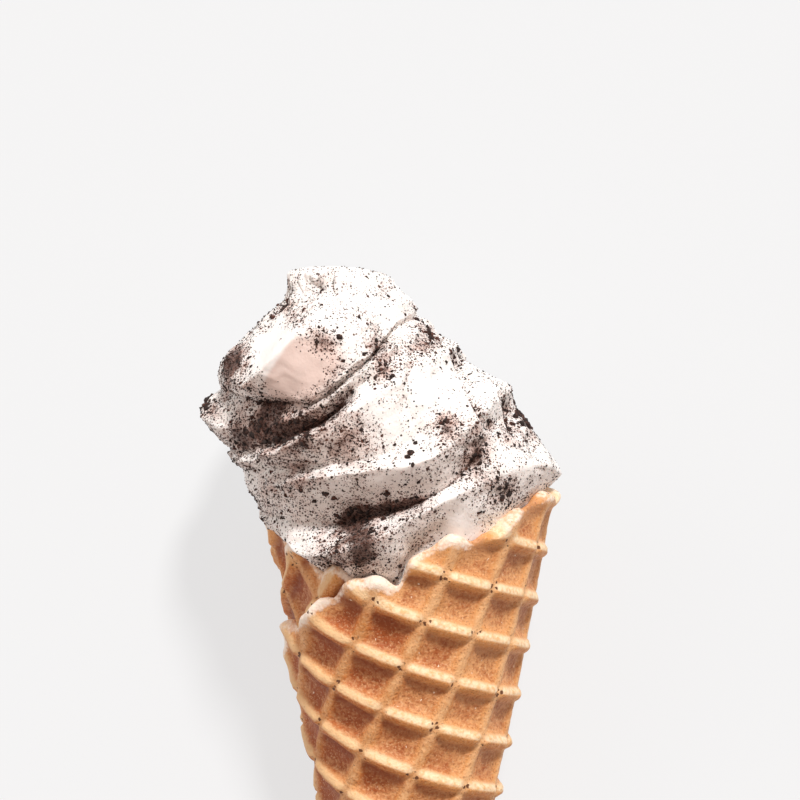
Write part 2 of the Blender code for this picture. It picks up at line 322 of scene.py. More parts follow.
def thick_sheet():
    """Points and faces of the closed sheet, still without thickness, and each point's numbers."""
    count = len(middle_plane)
    rim_edges = edge_loop(sheet_faces)
    rim = sorted({number for side in rim_edges for number in side})
    near = np.where(np.isin(np.arange(count), rim), 1.0, nearness)
    flat = np.column_stack([middle_plane, np.zeros(count)])
    # each layer: its points, then face, push, near_edge and covered
    layers = [(flat, 1.0, 0.0, near, covered), (flat, -1.0, 0.0, near, covered)]
    for sweep in math.pi * np.arange(1, EDGE_STEPS) / EDGE_STEPS:
        layers.append((flat[rim], math.cos(sweep), math.sin(sweep), np.ones(len(rim)), covered[rim]))
    numbers = [dict(zip(rim, rim))]
    for step in range(EDGE_STEPS - 1):
        start = 2 * count + step * len(rim)
        numbers.append({number: start + i for i, number in enumerate(rim)})
    numbers.append({number: number + count for number in rim})
    faces = sheet_faces.tolist() + (sheet_faces[:, ::-1] + count).tolist()
    for upper, lower in zip(numbers, numbers[1:]):
        faces += [(upper[b], upper[a], lower[a], lower[b]) for a, b in rim_edges]
    values = {}
    for i, name in enumerate(("face", "push", "near_edge", "covered"), start=1):
        values[name] = np.concatenate([np.broadcast_to(layer[i], len(layer[0])) for layer in layers])
    return np.concatenate([layer[0] for layer in layers]), faces, values


sheet_points, all_faces, sheet_values = thick_sheet()
wafer = finish_mesh("waffle_sheet", sheet_points, [tuple(dict.fromkeys(face)) for face in all_faces])
for name, values in sheet_values.items():
    wafer.data.attributes.new(name, "FLOAT", "POINT").data.foreach_set("value", values.astype(np.float32))
print("closed sheet:", len(sheet_points), "points,", len(all_faces), "faces")

# %% [markdown]
# ## The wafer, 2: press the ribs and roll it
#
# This is a Geometry Nodes tree, so that the wafer can be pressed and rolled again with other sizes. Each
# size is an input of the tree. It reads the numbers that each point carries, and it needs three noises:
# a slow one that bends the grid, lumps that make the ribs uneven, and grains. They are fixed to the flat
# sheet, so they come out the same each time.

# %% The tree's sizes and what it knows of each point
WAFER_SIZES = {
    "half_angle": HALF_ANGLE, "cell_across": CELL_ACROSS, "cell_along": CELL_ALONG,
    "grid_turn": GRID_TURN, "grid_skew": GRID_SKEW, "start_x": GRID_START[0], "start_y": GRID_START[1],
    "row_width": 4.2, "column_width": 4.8, "row_height": 1.8, "column_height": 0.9, "rib_wobble": 1.8,
    "slope_above": 0.9, "crossing_dip": 0.5, "dip_width": 3.4, "floor_dish": 0.8, "graininess": 0.4,
    "unevenness": 0.45, "rim_swell": 0.35, "knob_swell": 1.2, "bulb_width": 6.0, "bulb": 1.7,
    "edge_limit": 1.3, "thickness": 1.5, "layer_step": 1.55, "under_relief": 0.3, "nose": 3.0,
}  # angles in radians, lengths in millimetres, and shares
SHEET_NOISES = {"waver": (0.09, 3.0), "lumps": (0.38, 8.0), "grains": (1.3, 5.0)}  # scale and seed


def new_tree(name, inputs):
    """A Geometry Nodes tree that takes geometry and the named inputs, and what it is given."""
    tree = bpy.data.node_groups.new(name, "GeometryNodeTree")
    for socket, kind in {"Geometry": "Geometry", **inputs}.items():
        tree.interface.new_socket(socket, in_out="INPUT", socket_type="NodeSocket" + kind)
    tree.interface.new_socket("Geometry", in_out="OUTPUT", socket_type="NodeSocketGeometry")
    return tree, add(tree, "NodeGroupInput").outputs


roll, start = new_tree("press_and_roll", {**dict.fromkeys(WAFER_SIZES, "Float"), "Material": "Material"})
position = add(roll, "GeometryNodeInputPosition").outputs[0]
where = add(roll, "ShaderNodeSeparateXYZ", {0: position}).outputs
known = {"x": where[0], "y": where[1]}
for name in WAFER_SIZES:
    known[name] = start[name]
for name in sheet_values:
    reader = add(roll, "GeometryNodeInputNamedAttribute", {"Name": name}, data_type="FLOAT")
    known[name] = reader.outputs["Attribute"]
for name, (scale, seed) in SHEET_NOISES.items():
    shifted = add(roll, "ShaderNodeCombineXYZ", {0: known["x"], 1: known["y"], 2: seed})
    clouds = add(roll, "ShaderNodeTexNoise", {"Vector": shifted.outputs[0], "Scale": scale, "Detail": 2.0})
    known[name] = clouds.outputs[0]
print("the tree knows", len(known), "numbers")

# %% [markdown]
# First the place in the grid. The plates' ribs run in two directions that aren't quite square to each
# other. A ping-pong sum gives the distance to the nearest rib of each kind, and the slow noise bends the
# grid a little, because the soft sheet stretched when it was rolled.

# %% Distance to the nearest ribs
BEND_ACROSS = 1.6  # millimetres that the slow noise moves the grid
BEND_ALONG = -1.2
work_out(roll, known, (
    ("dx", "SUBTRACT", "x", "start_x"), ("dy", "SUBTRACT", "y", "start_y"),
    ("bend", "SUBTRACT", "waver", 0.5), ("dx", "MULTIPLY_ADD", "bend", BEND_ACROSS, "dx"),
    ("dy", "MULTIPLY_ADD", "bend", BEND_ALONG, "dy"),
    ("lean", "ADD", "grid_turn", "grid_skew"), ("spread", "COSINE", "grid_skew"),
    ("cos_lean", "COSINE", "lean"), ("sin_lean", "SINE", "lean"),
    ("cos_turn", "COSINE", "grid_turn"), ("sin_turn", "SINE", "grid_turn"),
    ("half_across", "MULTIPLY", "cell_across", 0.5), ("half_along", "MULTIPLY", "cell_along", 0.5),
    ("across", "MULTIPLY", "dx", "cos_lean"), ("across", "MULTIPLY_ADD", "dy", "sin_lean", "across"),
    ("across", "DIVIDE", "across", "spread"), ("to_column", "PINGPONG", "across", "half_across"),
    ("less", "MULTIPLY", "dx", "sin_turn"), ("along", "MULTIPLY", "dy", "cos_turn"),
    ("along", "SUBTRACT", "along", "less"), ("along", "DIVIDE", "along", "spread"),
    ("to_row", "PINGPONG", "along", "half_along"), ("half_down", "MULTIPLY", "half_along", -1.0),
    ("row_side", "WRAP", "along", "half_along", "half_down"),
))
print("nodes so far:", len(roll.nodes))

# %% [markdown]
# Next the ribs themselves. The rows stand high and the columns low, as the two plates of a cone iron
# press them. Each rib is a round bead that grows out of the floor, dips where another rib crosses it and
# is wider on its upper side. The finish needs two more numbers: where the top of a row is pale, partly
# for the rib's own colour and partly as painted light on its lit upper side, and where a painted shadow
# lies in a line under it.

# %% Ribs, hollows and bulbs
BEAD_ROUNDNESS = 1.7  # 1 is a sharp bead, larger is rounder
KNOB_SQUARENESS = 3.2  # 2 is a half circle; the edge is softened later, so a squarer one
MEETING = 0.35  # how softly two ribs run into each other
BARE_AT_CROSSING = -0.7  # the pale top of a row is missing by this where a column crosses
work_out(roll, known, (
    ("wobble", "SUBTRACT", "lumps", 0.5), ("wobble", "MULTIPLY", "wobble", "rib_wobble"),
    ("column_reach", "MULTIPLY_ADD", "column_width", 0.5, "wobble"),
    ("row_reach", "MULTIPLY_ADD", "row_width", 0.5, "wobble"),
    ("above", "GREATER_THAN", "row_side", 0.0),
    ("row_reach", "MULTIPLY_ADD", "above", "slope_above", "row_reach"),
    ("knob_reach", "MULTIPLY", "bulb_width", 0.5), ("dip_reach", "MULTIPLY", "dip_width", 0.5),
    # the pale top of a row sits on the rib's upper side: partly the rib's own colour, partly painted light
    ("from_below", "SLOPE", "row_side", -0.5, 0.7), ("from_above", "SLOPE", "row_side", 2.4, 0.7),
    # these two place the painted shadow in a line under each row
    ("painted_row_shadow_start", "SLOPE", "row_side", -1.0, -2.1), ("painted_row_shadow_end", "SLOPE", "row_side", -4.8, -2.3),
    ("gap", "SLOPE", "to_column", "dip_reach", 0.0),
))
for way in ("column", "row"):
    work_out(roll, known, (
        (way + "_rib", "SLOPE", "to_" + way, way + "_reach", 0.0),
        ("bead", "SUBTRACT", 1.0, way + "_rib"), ("bead", "POWER", "bead", BEAD_ROUNDNESS),
        ("bead", "SUBTRACT", 1.0, "bead"), (way + "_lift", "MULTIPLY", "bead", way + "_height"),
        ("share", "DIVIDE", "to_" + way, "knob_reach"), ("share", "MINIMUM", "share", 1.0),
        ("share", "POWER", "share", KNOB_SQUARENESS), ("share", "SUBTRACT", 1.0, "share"),
        (way + "_knob", "SQRT", "share"),
    ))
work_out(roll, known, (
    ("dip", "MULTIPLY", "gap", "crossing_dip"), ("dip", "SUBTRACT", 1.0, "dip"),
    ("row_lift", "MULTIPLY", "row_lift", "dip"),
    ("bare_gap", "MULTIPLY_ADD", "gap", BARE_AT_CROSSING, 1.0),
    ("pale_and_lit_row_top", "MULTIPLY", "from_below", "from_above"), ("pale_and_lit_row_top", "MULTIPLY", "pale_and_lit_row_top", "bare_gap"),
    ("painted_row_shadow", "MULTIPLY", "painted_row_shadow_start", "painted_row_shadow_end"),
    ("relief", "SMOOTH_MAX", "column_lift", "row_lift", MEETING),
    ("rib", "MAXIMUM", "column_rib", "row_rib"), ("crossing", "MINIMUM", "column_rib", "row_rib"),
    ("uneven", "SUBTRACT", "lumps", 0.5), ("uneven", "MULTIPLY", "uneven", "unevenness"),
    ("relief", "ADD", "relief", "uneven"),
    ("inside_a", "DIVIDE", "to_column", "half_across"), ("inside_b", "DIVIDE", "to_row", "half_along"),
    ("bowl", "MULTIPLY", "inside_a", "inside_b"), ("hollow", "MULTIPLY", "bowl", "floor_dish"),
    ("relief", "SUBTRACT", "relief", "hollow"),
    ("pimples", "SUBTRACT", "grains", 0.5),
    ("relief", "MULTIPLY_ADD", "pimples", "graininess", "relief"),
))
print("nodes so far:", len(roll.nodes))

# %% [markdown]
# The edge puffed up, because the batter could spread there. Each column ends in a knob that stands out
# past the edge, and so does each row on the left and at the sheet's inner end. Underneath the relief is
# weak, and where the next turn lies over the sheet there is none, so the two turns don't cut through each
# other.

# %% Edge, knobs and thickness
COVERED_SINK = -0.35  # a covered turn is this much thinner on each side
ROW_ENDS_LEFT = (-0.14, -0.7)  # knobs of the rows grow by these towards the left edge
ROW_ENDS_INSIDE = (0.1, -6.0)  # and by these towards the sheet's inner end
work_out(roll, known, (
    ("near_cubed", "POWER", "near_edge", 3.0),
    ("relief", "MULTIPLY_ADD", "near_cubed", "rim_swell", "relief"),
    ("knob_lift", "MULTIPLY", "column_knob", "near_cubed"),
    ("relief", "MULTIPLY_ADD", "knob_lift", "knob_swell", "relief"),
    ("under", "LESS_THAN", "face", 0.0), ("less", "SUBTRACT", "under_relief", 1.0),
    ("share", "MULTIPLY_ADD", "under", "less", 1.0), ("relief", "MULTIPLY", "relief", "share"),
    ("bare", "SUBTRACT", 1.0, "covered"), ("relief", "MULTIPLY", "relief", "bare"),
    ("relief", "MULTIPLY_ADD", "covered", COVERED_SINK, "relief"),
    ("half_thick", "MULTIPLY", "thickness", 0.5), ("swollen", "ADD", "half_thick", "relief"),
    ("out", "MULTIPLY", "face", "swollen"),
    ("leftward", "MULTIPLY_ADD", "x", *ROW_ENDS_LEFT), ("inner_end", "MULTIPLY_ADD", "x", *ROW_ENDS_INSIDE),
    ("row_end", "MAXIMUM", "leftward", "inner_end"), ("row_end", "MAXIMUM", "row_end", 0.0),
    ("row_end", "MINIMUM", "row_end", 0.9), ("row_knob", "MULTIPLY", "row_knob", "row_end"),
    ("knob", "MAXIMUM", "column_knob", "row_knob"), ("bulb_out", "MULTIPLY", "knob", "bulb"),
    ("bulb_out", "MULTIPLY", "bulb_out", "near_edge"), ("bulb_out", "MULTIPLY", "bulb_out", "near_edge"),
    ("edge_swell", "MINIMUM", "swollen", "edge_limit"),
    ("push_out", "MULTIPLY_ADD", "push", "edge_swell", "bulb_out"),
))
print("nodes so far:", len(roll.nodes))

# %% [markdown]
# Now the roll. The distance from the tip and the angle on the sheet become the height and the angle round
# the cone, and each turn lies one layer inside the last. The tip isn't a needle: up to the nose's own
# radius the height and the radius follow a ball.

# %% Roll the sheet round the cone
NOSE_FADE = (0.75, 0.25)  # the thickness fades to a quarter at the very tip
LEAST_RADIUS = 0.05
work_out(roll, known, (
    ("xx", "MULTIPLY", "x", "x"), ("slant", "MULTIPLY_ADD", "y", "y", "xx"), ("slant", "SQRT", "slant"),
    ("slant_out", "ADD", "slant", "push_out"),
    ("sin_h", "SINE", "half_angle"), ("cos_h", "COSINE", "half_angle"), ("tan_h", "TANGENT", "half_angle"),
    ("flat_angle", "ARCTAN2", "x", "y"), ("angle", "DIVIDE", "flat_angle", "sin_h"),
    ("turns", "DIVIDE", "angle", 2 * math.pi), ("inward", "MULTIPLY", "turns", "layer_step"),
    ("nose_slant", "DIVIDE", "nose", "tan_h"), ("nose_share", "DIVIDE", "slant", "nose_slant"),
    ("nose_share", "MINIMUM", "nose_share", 1.0), ("fade", "MULTIPLY_ADD", "nose_share", *NOSE_FADE),
    ("lift", "SUBTRACT", "out", "half_thick"), ("lift", "SUBTRACT", "lift", "inward"),
    ("lift", "MULTIPLY", "lift", "fade"),
    ("full_sweep", "SUBTRACT", math.pi / 2, "half_angle"),
    ("sweep", "MULTIPLY", "nose_share", "full_sweep"),
    ("sin_s", "SINE", "sweep"), ("cos_s", "COSINE", "sweep"), ("nose_radius", "MULTIPLY", "nose", "sin_s"),
    ("nose_middle", "DIVIDE", "nose", "sin_h"), ("nose_drop", "MULTIPLY", "nose", "cos_s"),
    ("nose_height", "SUBTRACT", "nose_middle", "nose_drop"),
    ("beyond", "SUBTRACT", "slant_out", "nose_slant"), ("beyond", "MAXIMUM", "beyond", 0.0),
    ("radius", "MULTIPLY_ADD", "beyond", "sin_h", "nose_radius"),
    ("radius", "MULTIPLY_ADD", "lift", "cos_h", "radius"), ("radius", "MAXIMUM", "radius", LEAST_RADIUS),
    ("height", "MULTIPLY_ADD", "beyond", "cos_h", "nose_height"), ("lower", "MULTIPLY", "lift", "sin_h"),
    ("height", "SUBTRACT", "height", "lower"),
    ("sin_a", "SINE", "angle"), ("cos_a", "COSINE", "angle"),
    ("rolled_x", "MULTIPLY", "radius", "sin_a"), ("rolled_z", "MULTIPLY", "radius", "cos_a"),
))
print("nodes so far:", len(roll.nodes))

# %% [markdown]
# The finish needs to know where the ribs are, so their numbers are stored while each point still lies in
# the grid. Then the points move to their rolled places. Batter rounds itself at a free edge, so the places
# near the edge are blurred together a little. The tree ends by making all its geometry real and by setting
# the material.

# %% Store, move and round the edge
# the pale row tops are partly painted light, and the line under each row is painted shadow
STORED = {"rib": "rib", "column": "column_rib", "pale_and_lit_row_top": "pale_and_lit_row_top", "painted_row_shadow": "painted_row_shadow",
          "crossing": "crossing", "bowl": "bowl", "rim": "near_edge", "knob": "knob_lift"}
EDGE_BLURS = 4
BLURRED_FROM = 0.55  # places this near to the edge or nearer are blurred
geometry = start["Geometry"]
for name, value in STORED.items():
    stored = add(roll, "GeometryNodeStoreNamedAttribute",
                 {"Geometry": geometry, "Name": name, "Value": known[value]}, data_type="FLOAT",
                 domain="POINT")
    geometry = stored.outputs[0]
rolled = add(roll, "ShaderNodeCombineXYZ", {0: known["rolled_x"], 1: known["height"], 2: known["rolled_z"]})
moved = add(roll, "GeometryNodeSetPosition", {"Geometry": geometry, "Position": rolled.outputs[0]})
softened = add(roll, "GeometryNodeBlurAttribute", {0: position, "Iterations": EDGE_BLURS},
               data_type="FLOAT_VECTOR")
at_edge = add(roll, "FunctionNodeCompare", {0: known["near_edge"], 1: BLURRED_FROM},
              operation="GREATER_THAN")
rounded = add(roll, "GeometryNodeSetPosition", {"Geometry": moved.outputs[0], "Position": softened.outputs[0],
                                                "Selection": at_edge.outputs[0]})
real = add(roll, "GeometryNodeRealizeInstances", {"Geometry": rounded.outputs[0]})
coated = add(roll, "GeometryNodeSetMaterial", {"Geometry": real.outputs[0], "Material": start["Material"]})
add(roll, "NodeGroupOutput", {"Geometry": coated.outputs[0]})
print(roll.name, "has", len(roll.nodes), "nodes")

# %% [markdown]
# ## The finishes
#
# Each finish reads stored numbers and a few noises, works out a colour, a roughness and a fine relief, and
# hands them to the shader. Its coordinates are the object's own, in millimetres. Specks and pits are cells
# of a random pattern, whose outlines are torn by moving the coordinates with noise.

# %% Helpers for finishes
def new_material(name, stored, noises, torn=None):
    """A material, its tree, and what is known at each point: the place, stored numbers and noises."""
    material = bpy.data.materials.new(name)
    material.use_nodes = True
    tree = material.node_tree
    tree.nodes.clear()
    here = add(tree, "ShaderNodeTexCoord").outputs["Object"]
    place = add(tree, "ShaderNodeMapping", {"Vector": here, "Scale": (1.0 / MM,) * 3}).outputs[0]
    known = {"place": place}
    for number in stored:
        known[number] = add(tree, "ShaderNodeAttribute", attribute_name=number).outputs["Fac"]
    for pattern, (scale, detail) in noises.items():
        clouds = add(tree, "ShaderNodeTexNoise", {"Vector": place, "Scale": scale, "Detail": detail})
        known[pattern] = clouds.outputs["Fac"]
    if torn:
        scale, detail, reach = torn
        clouds = add(tree, "ShaderNodeTexNoise", {"Vector": place, "Scale": scale, "Detail": detail})
        tearing = add(tree, "ShaderNodeVectorMath", {0: clouds.outputs["Color"], 1: (reach,) * 3, 2: place},
                      operation="MULTIPLY_ADD")
        known["torn"] = tearing.outputs[0]
    return material, tree, known


def random_cells(tree, known, name, per_mm):
    """A random pattern: the distance to the middle of each cell, and the cell's chance and kind."""
    cells = add(tree, "ShaderNodeTexVoronoi", {"Vector": known["torn"], "Scale": per_mm})
    chances = add(tree, "ShaderNodeSeparateColor", {0: cells.outputs["Color"]}).outputs
    known.update({name + "_off": cells.outputs["Distance"], name + "_chance": chances[0],
                  name + "_kind": chances[1]})


def finish_material(tree, known, bump, constants):
    """Join the shade, the roughness and the relief to the shader, with its constant values."""
    strength, depth = bump
    relief = add(tree, "ShaderNodeBump", {"Height": known["relief"], "Strength": strength, "Distance": depth})
    surface = add(tree, "ShaderNodeBsdfPrincipled",
                  {"Base Color": known["shade"], "Normal": relief.outputs[0], **constants})
    add(tree, "ShaderNodeOutputMaterial", {"Surface": surface.outputs[0]})
    print(tree.name, "has", len(tree.nodes), "nodes")


print("coordinates of the finishes are scaled by", round(1.0 / MM))

# %% [markdown]
# ## The wafer's finish
#
# Wafer batter is flour, sugar and butter. Where it pressed against the hot plate it browned, so the hollow
# floors are tan to brown, and the ribs, which lay in the plate's grooves, stayed pale cream. The change is
# quickest on the ribs' flanks, and that makes the grid stand out to the eye even in flat light. A noise of
# speckles breaks up each change of colour, as uneven heat does. The darker left side is partly browning
# and partly painted shade, the inner turn at the far left is painted paler as painted light, and the tops
# of the rows are painted darker towards the left as painted shade.

# %% Browning of the wafer, with painted shade and painted light
baked, tree, known = new_material(
    "baked_wafer", STORED, {"uneven": (0.10, 3.0), "mottle": (1.1, 6.0), "pores": (2.3, 4.0)},
    torn=(1.6, 2.0, 0.9))
known["side"] = add(tree, "ShaderNodeSeparateXYZ", {0: known["place"]}).outputs[0]
work_out(tree, known, (
    ("browned", "SLOPE", "uneven", 0.35, 0.65, -0.15, 0.35),
    # darker towards the left side: partly browning, partly painted shade on the side away from the key light
    ("heat_and_shade_side", "SLOPE", "side", 26.0, -16.0, 0.0, 0.62), ("browned", "ADD", "browned", "heat_and_shade_side"),
    ("deep", "SLOPE", "bowl", 0.05, 0.7, -0.05, 0.33), ("browned", "ADD", "browned", "deep"),
    ("speckle", "SLOPE", "mottle", 0.3, 0.7, -0.5, 0.5),
    ("browned", "MULTIPLY_ADD", "speckle", 0.6, "browned"),
    ("paler", "SLOPE", "rim", 0.0, 1.0, 0.0, 0.75), ("browned", "SUBTRACT", "browned", "paler"),
    # painted light: the inner turn at the far left is made paler where the cream shades it
    ("paler", "SLOPE", "side", -19.0, -26.0, 0.0, 0.9), ("browned", "SUBTRACT", "browned", "paler"),
    ("floor", "BLEND", "browned", 0xE2A46C, 0xA35222), ("flank", "BLEND", "browned", 0xE09C5A, 0xBE6628),
    ("column_top", "BLEND", "browned", 0xECB680, 0xCC8648),
    # painted shade: the tops of the rows are darker towards the left, away from the key light
    ("toned", "SLOPE", "mottle", 0.35, 0.7), ("shaded", "SLOPE", "side", 14.0, -14.0, 0.0, 0.9),
    ("toned", "MAXIMUM", "toned", "shaded"), ("top", "BLEND", "toned", 0xFCE2BC, 0xE9BA84),
    ("share", "MULTIPLY_ADD", "speckle", 0.25, "rib"), ("share", "SLOPE", "share", 0.0, 0.5),
    ("shade", "BLEND", "share", "floor", "flank"),
    ("share", "MULTIPLY_ADD", "speckle", 0.25, "column"), ("share", "SLOPE", "share", 0.2, 0.95),
    ("shade", "BLEND", "share", "shade", "column_top"),
))
print("browning is worked out")

# %% [markdown]
# Steam left fine pores with dark mouths and pale lips. A painted shadow lies in a line under each row,
# and the tops of the rows are the palest part of the print, partly for their own colour and partly as
# painted light on their lit upper side. The puffed edge is nearly white. Burnt sugar left small dark pits,
# most of them where two ribs cross, and here and there a painted glint sits on a floor, where a grain of
# sugar melted.

# %% Pores, painted row shadow, pale tops, pits and painted glints
random_cells(tree, known, "pit", 0.95)
# the second pattern places painted glints on the floors
random_cells(tree, known, "sugar", 0.75)
work_out(tree, known, (
    ("mouth", "SLOPE", "pores", 0.55, 0.68, 0.0, 0.55), ("shade", "BLEND", "mouth", "shade", 0x8F4E26),
    ("lip", "SLOPE", "pores", 0.45, 0.34, 0.0, 0.35), ("shade", "BLEND", "lip", "shade", 0xF2CCA0),
    # painted shadow in a line under each row, weaker towards the right
    ("share", "SLOPE", "column", 1.0, 0.2, 0.25, 0.85), ("painted_row_shadow_here", "MULTIPLY", "painted_row_shadow", "share"),
    ("share", "SLOPE", "side", 18.0, -6.0, 0.45, 1.0), ("painted_row_shadow_here", "MULTIPLY", "painted_row_shadow_here", "share"),
    ("shade", "BLEND", "painted_row_shadow_here", "shade", 0x8A3E18),
    # pale tops of the rows: partly their own colour, partly painted light on the lit upper side
    ("share", "MULTIPLY_ADD", "speckle", 0.25, "pale_and_lit_row_top"), ("share", "SLOPE", "share", 0.1, 0.75),
    ("shade", "BLEND", "share", "shade", "top"),
    ("bare", "MULTIPLY_ADD", "speckle", 0.20, "rim"), ("bare", "MULTIPLY_ADD", "knob", 0.24, "bare"),
    ("share", "SLOPE", "side", 8.0, 24.0, 0.0, 0.22), ("bare", "SUBTRACT", "bare", "share"),
    ("bare", "SLOPE", "bare", 0.80, 1.18), ("shade", "BLEND", "bare", "shade", 0xFDEAD8),
    ("room", "MULTIPLY_ADD", "rib", 0.16, 0.07), ("room", "MULTIPLY_ADD", "crossing", 0.55, "room"),
    ("room", "SUBTRACT", "room", "pit_chance"), ("reach", "SLOPE", "room", 0.0, 0.5, 0.0, 0.46),
    ("pit", "SUBTRACT", "reach", "pit_off"), ("pit", "SLOPE", "pit", 0.0, 0.12),
    ("shade", "BLEND", "pit", "shade", 0x6E4426),
    # painted highlight: small white glints on the floors, away from the ribs
    ("painted_glint", "SLOPE", "sugar_kind", 0.86, 0.9), ("share", "SLOPE", "sugar_off", 0.16, 0.08),
    ("painted_glint", "MULTIPLY", "painted_glint", "share"), ("share", "SLOPE", "rib", 0.5, 0.0),
    ("painted_glint", "MULTIPLY", "painted_glint", "share"), ("shade", "BLEND", "painted_glint", "shade", 0xFFEBD2),
    ("roughness", "SLOPE", "mottle", 0.3, 0.7, 0.48, 0.66),
    ("relief", "MULTIPLY", "pores", 0.5), ("relief", "MULTIPLY_ADD", "pit", -0.7, "relief"),
    ("relief", "MULTIPLY_ADD", "mottle", 0.8, "relief"),
))
finish_material(tree, known, (0.7, 0.0005), {
    "Roughness": known["roughness"], "IOR": 1.45, "Subsurface Weight": 0.05,
    "Subsurface Radius": (1.0, 0.6, 0.35), "Subsurface Scale": 0.001,
})

# %% [markdown]
# The tree is used on the flat sheet by a modifier, whose sizes are set by the inputs' identifiers. Its
# result then becomes the wafer's own mesh and is laid down.

# %% Roll the wafer and lay it down
def apply_tree(piece, tree, values):
    """Give an object a Geometry Nodes modifier, with its inputs set by their identifiers."""
    modifier = piece.modifiers.new(tree.name, "NODES")
    modifier.node_group = tree
    for item in tree.interface.items_tree:
        if item.in_out == "INPUT" and item.name in values:
            modifier[item.identifier] = values[item.name]


def make_plain(piece):
    """Turn what the modifiers make into the object's own mesh, and remove them."""
    state = bpy.context.evaluated_depsgraph_get()
    mesh = bpy.data.meshes.new_from_object(piece.evaluated_get(state), preserve_all_data_layers=True,
                                           depsgraph=state)
    piece.modifiers.clear()
    piece.data = mesh
    mesh.shade_smooth()
    print(piece.name, "has", sum(len(face.vertices) - 2 for face in mesh.polygons), "triangles")


apply_tree(wafer, roll, {**WAFER_SIZES, "Material": baked})
make_plain(wafer)
wafer.data.transform(lay_down)
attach(wafer, "root")
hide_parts("waffle_cone")

# %% [markdown]
# ## The ice cream, 1: a mass with folds
#
# Soft ice cream leaves the nozzle as a thick rope that leans and settles in folds, and a spatula has
# pressed this one to the left. Its surface is laid out like a map: one direction runs round the mass, the
# other runs from the plug inside the wafer up to the crown. Every fold is a line round the mass, either a
# crest or a groove, with its height and how far it stands out or sinks in. The mesh's rows follow those
# lines, so that creases stay crisp.

# %% Smooth noise for many points at once
def noise(points, size, seed):
    """Smooth noise from -1 to 1 at each point; size is the distance over which it changes."""
    scaled = np.asarray(points, dtype=float) / size + seed * 17.3
    cell = np.floor(scaled).astype(np.int64)
    inside = scaled - cell
    blend = inside ** 3 * (inside * (inside * 6 - 15) + 10)
    total = 0.0
    for corner in np.ndindex(2, 2, 2):
        spot = cell + corner
        mixed = (spot[..., 0] * 73856093) ^ (spot[..., 1] * 19349663) ^ (spot[..., 2] * 83492791) ^ seed
        mixed = ((mixed ^ (mixed >> 13)) * 1274126177) & 0x7FFFFFFF
        value = ((mixed ^ (mixed >> 16)) & 0xFFFFF) / 0xFFFFF
        weight = np.prod(np.where(corner, blend, 1.0 - blend), axis=-1)
        total = total + value * weight
    return 2.0 * total - 1.0


def smooth(low, high, value):
    """0 at low, 1 at high, and a smooth slope between them."""
    share = np.clip((value - low) / (high - low), 0.0, 1.0)
    return share * share * (3.0 - 2.0 * share)


print("noise 1 mm apart:", [round(float(noise(np.array((x, 0.0, 0.0)), 4.0, 1)), 2) for x in range(4)])

# %% [markdown]
# The mass leans to the left, so its outline is a table of heights with its four sides. The folds come
# next, from the foot that spills over the wafer's edge up to the crown.

# %% The mass's outline and its folds
# Height of the mass, and where its left, right, front and back are there
MASS = np.array((
    (140, -27.5, 27.5, 27.2, -27.5), (150, -30.6, 31.2, 29.8, -29.5), (157, -33.4, 33.4, 31.6, -30.8),
    (165, -38.2, 33.0, 32.2, -31.8), (172, -41.6, 28.8, 31.0, -32.2), (178, -40.6, 22.6, 28.6, -31.0),
    (184, -39.4, 14.8, 25.6, -28.6), (190, -37.0, 7.0, 21.8, -25.0), (194.4, -31.8, 3.0, 18.0, -20.6),
    (197.4, -26.6, 0.6, 15.2, -16.6), (199.5, -24.8, -1.0, 12.8, -13.6), (202.2, -24.4, -4.2, 9.0, -9.2),
    (203.5, -22.6, -8.4, 5.0, -4.8), (204.2, -16.0, -16.0, 0.0, 0.0),
))
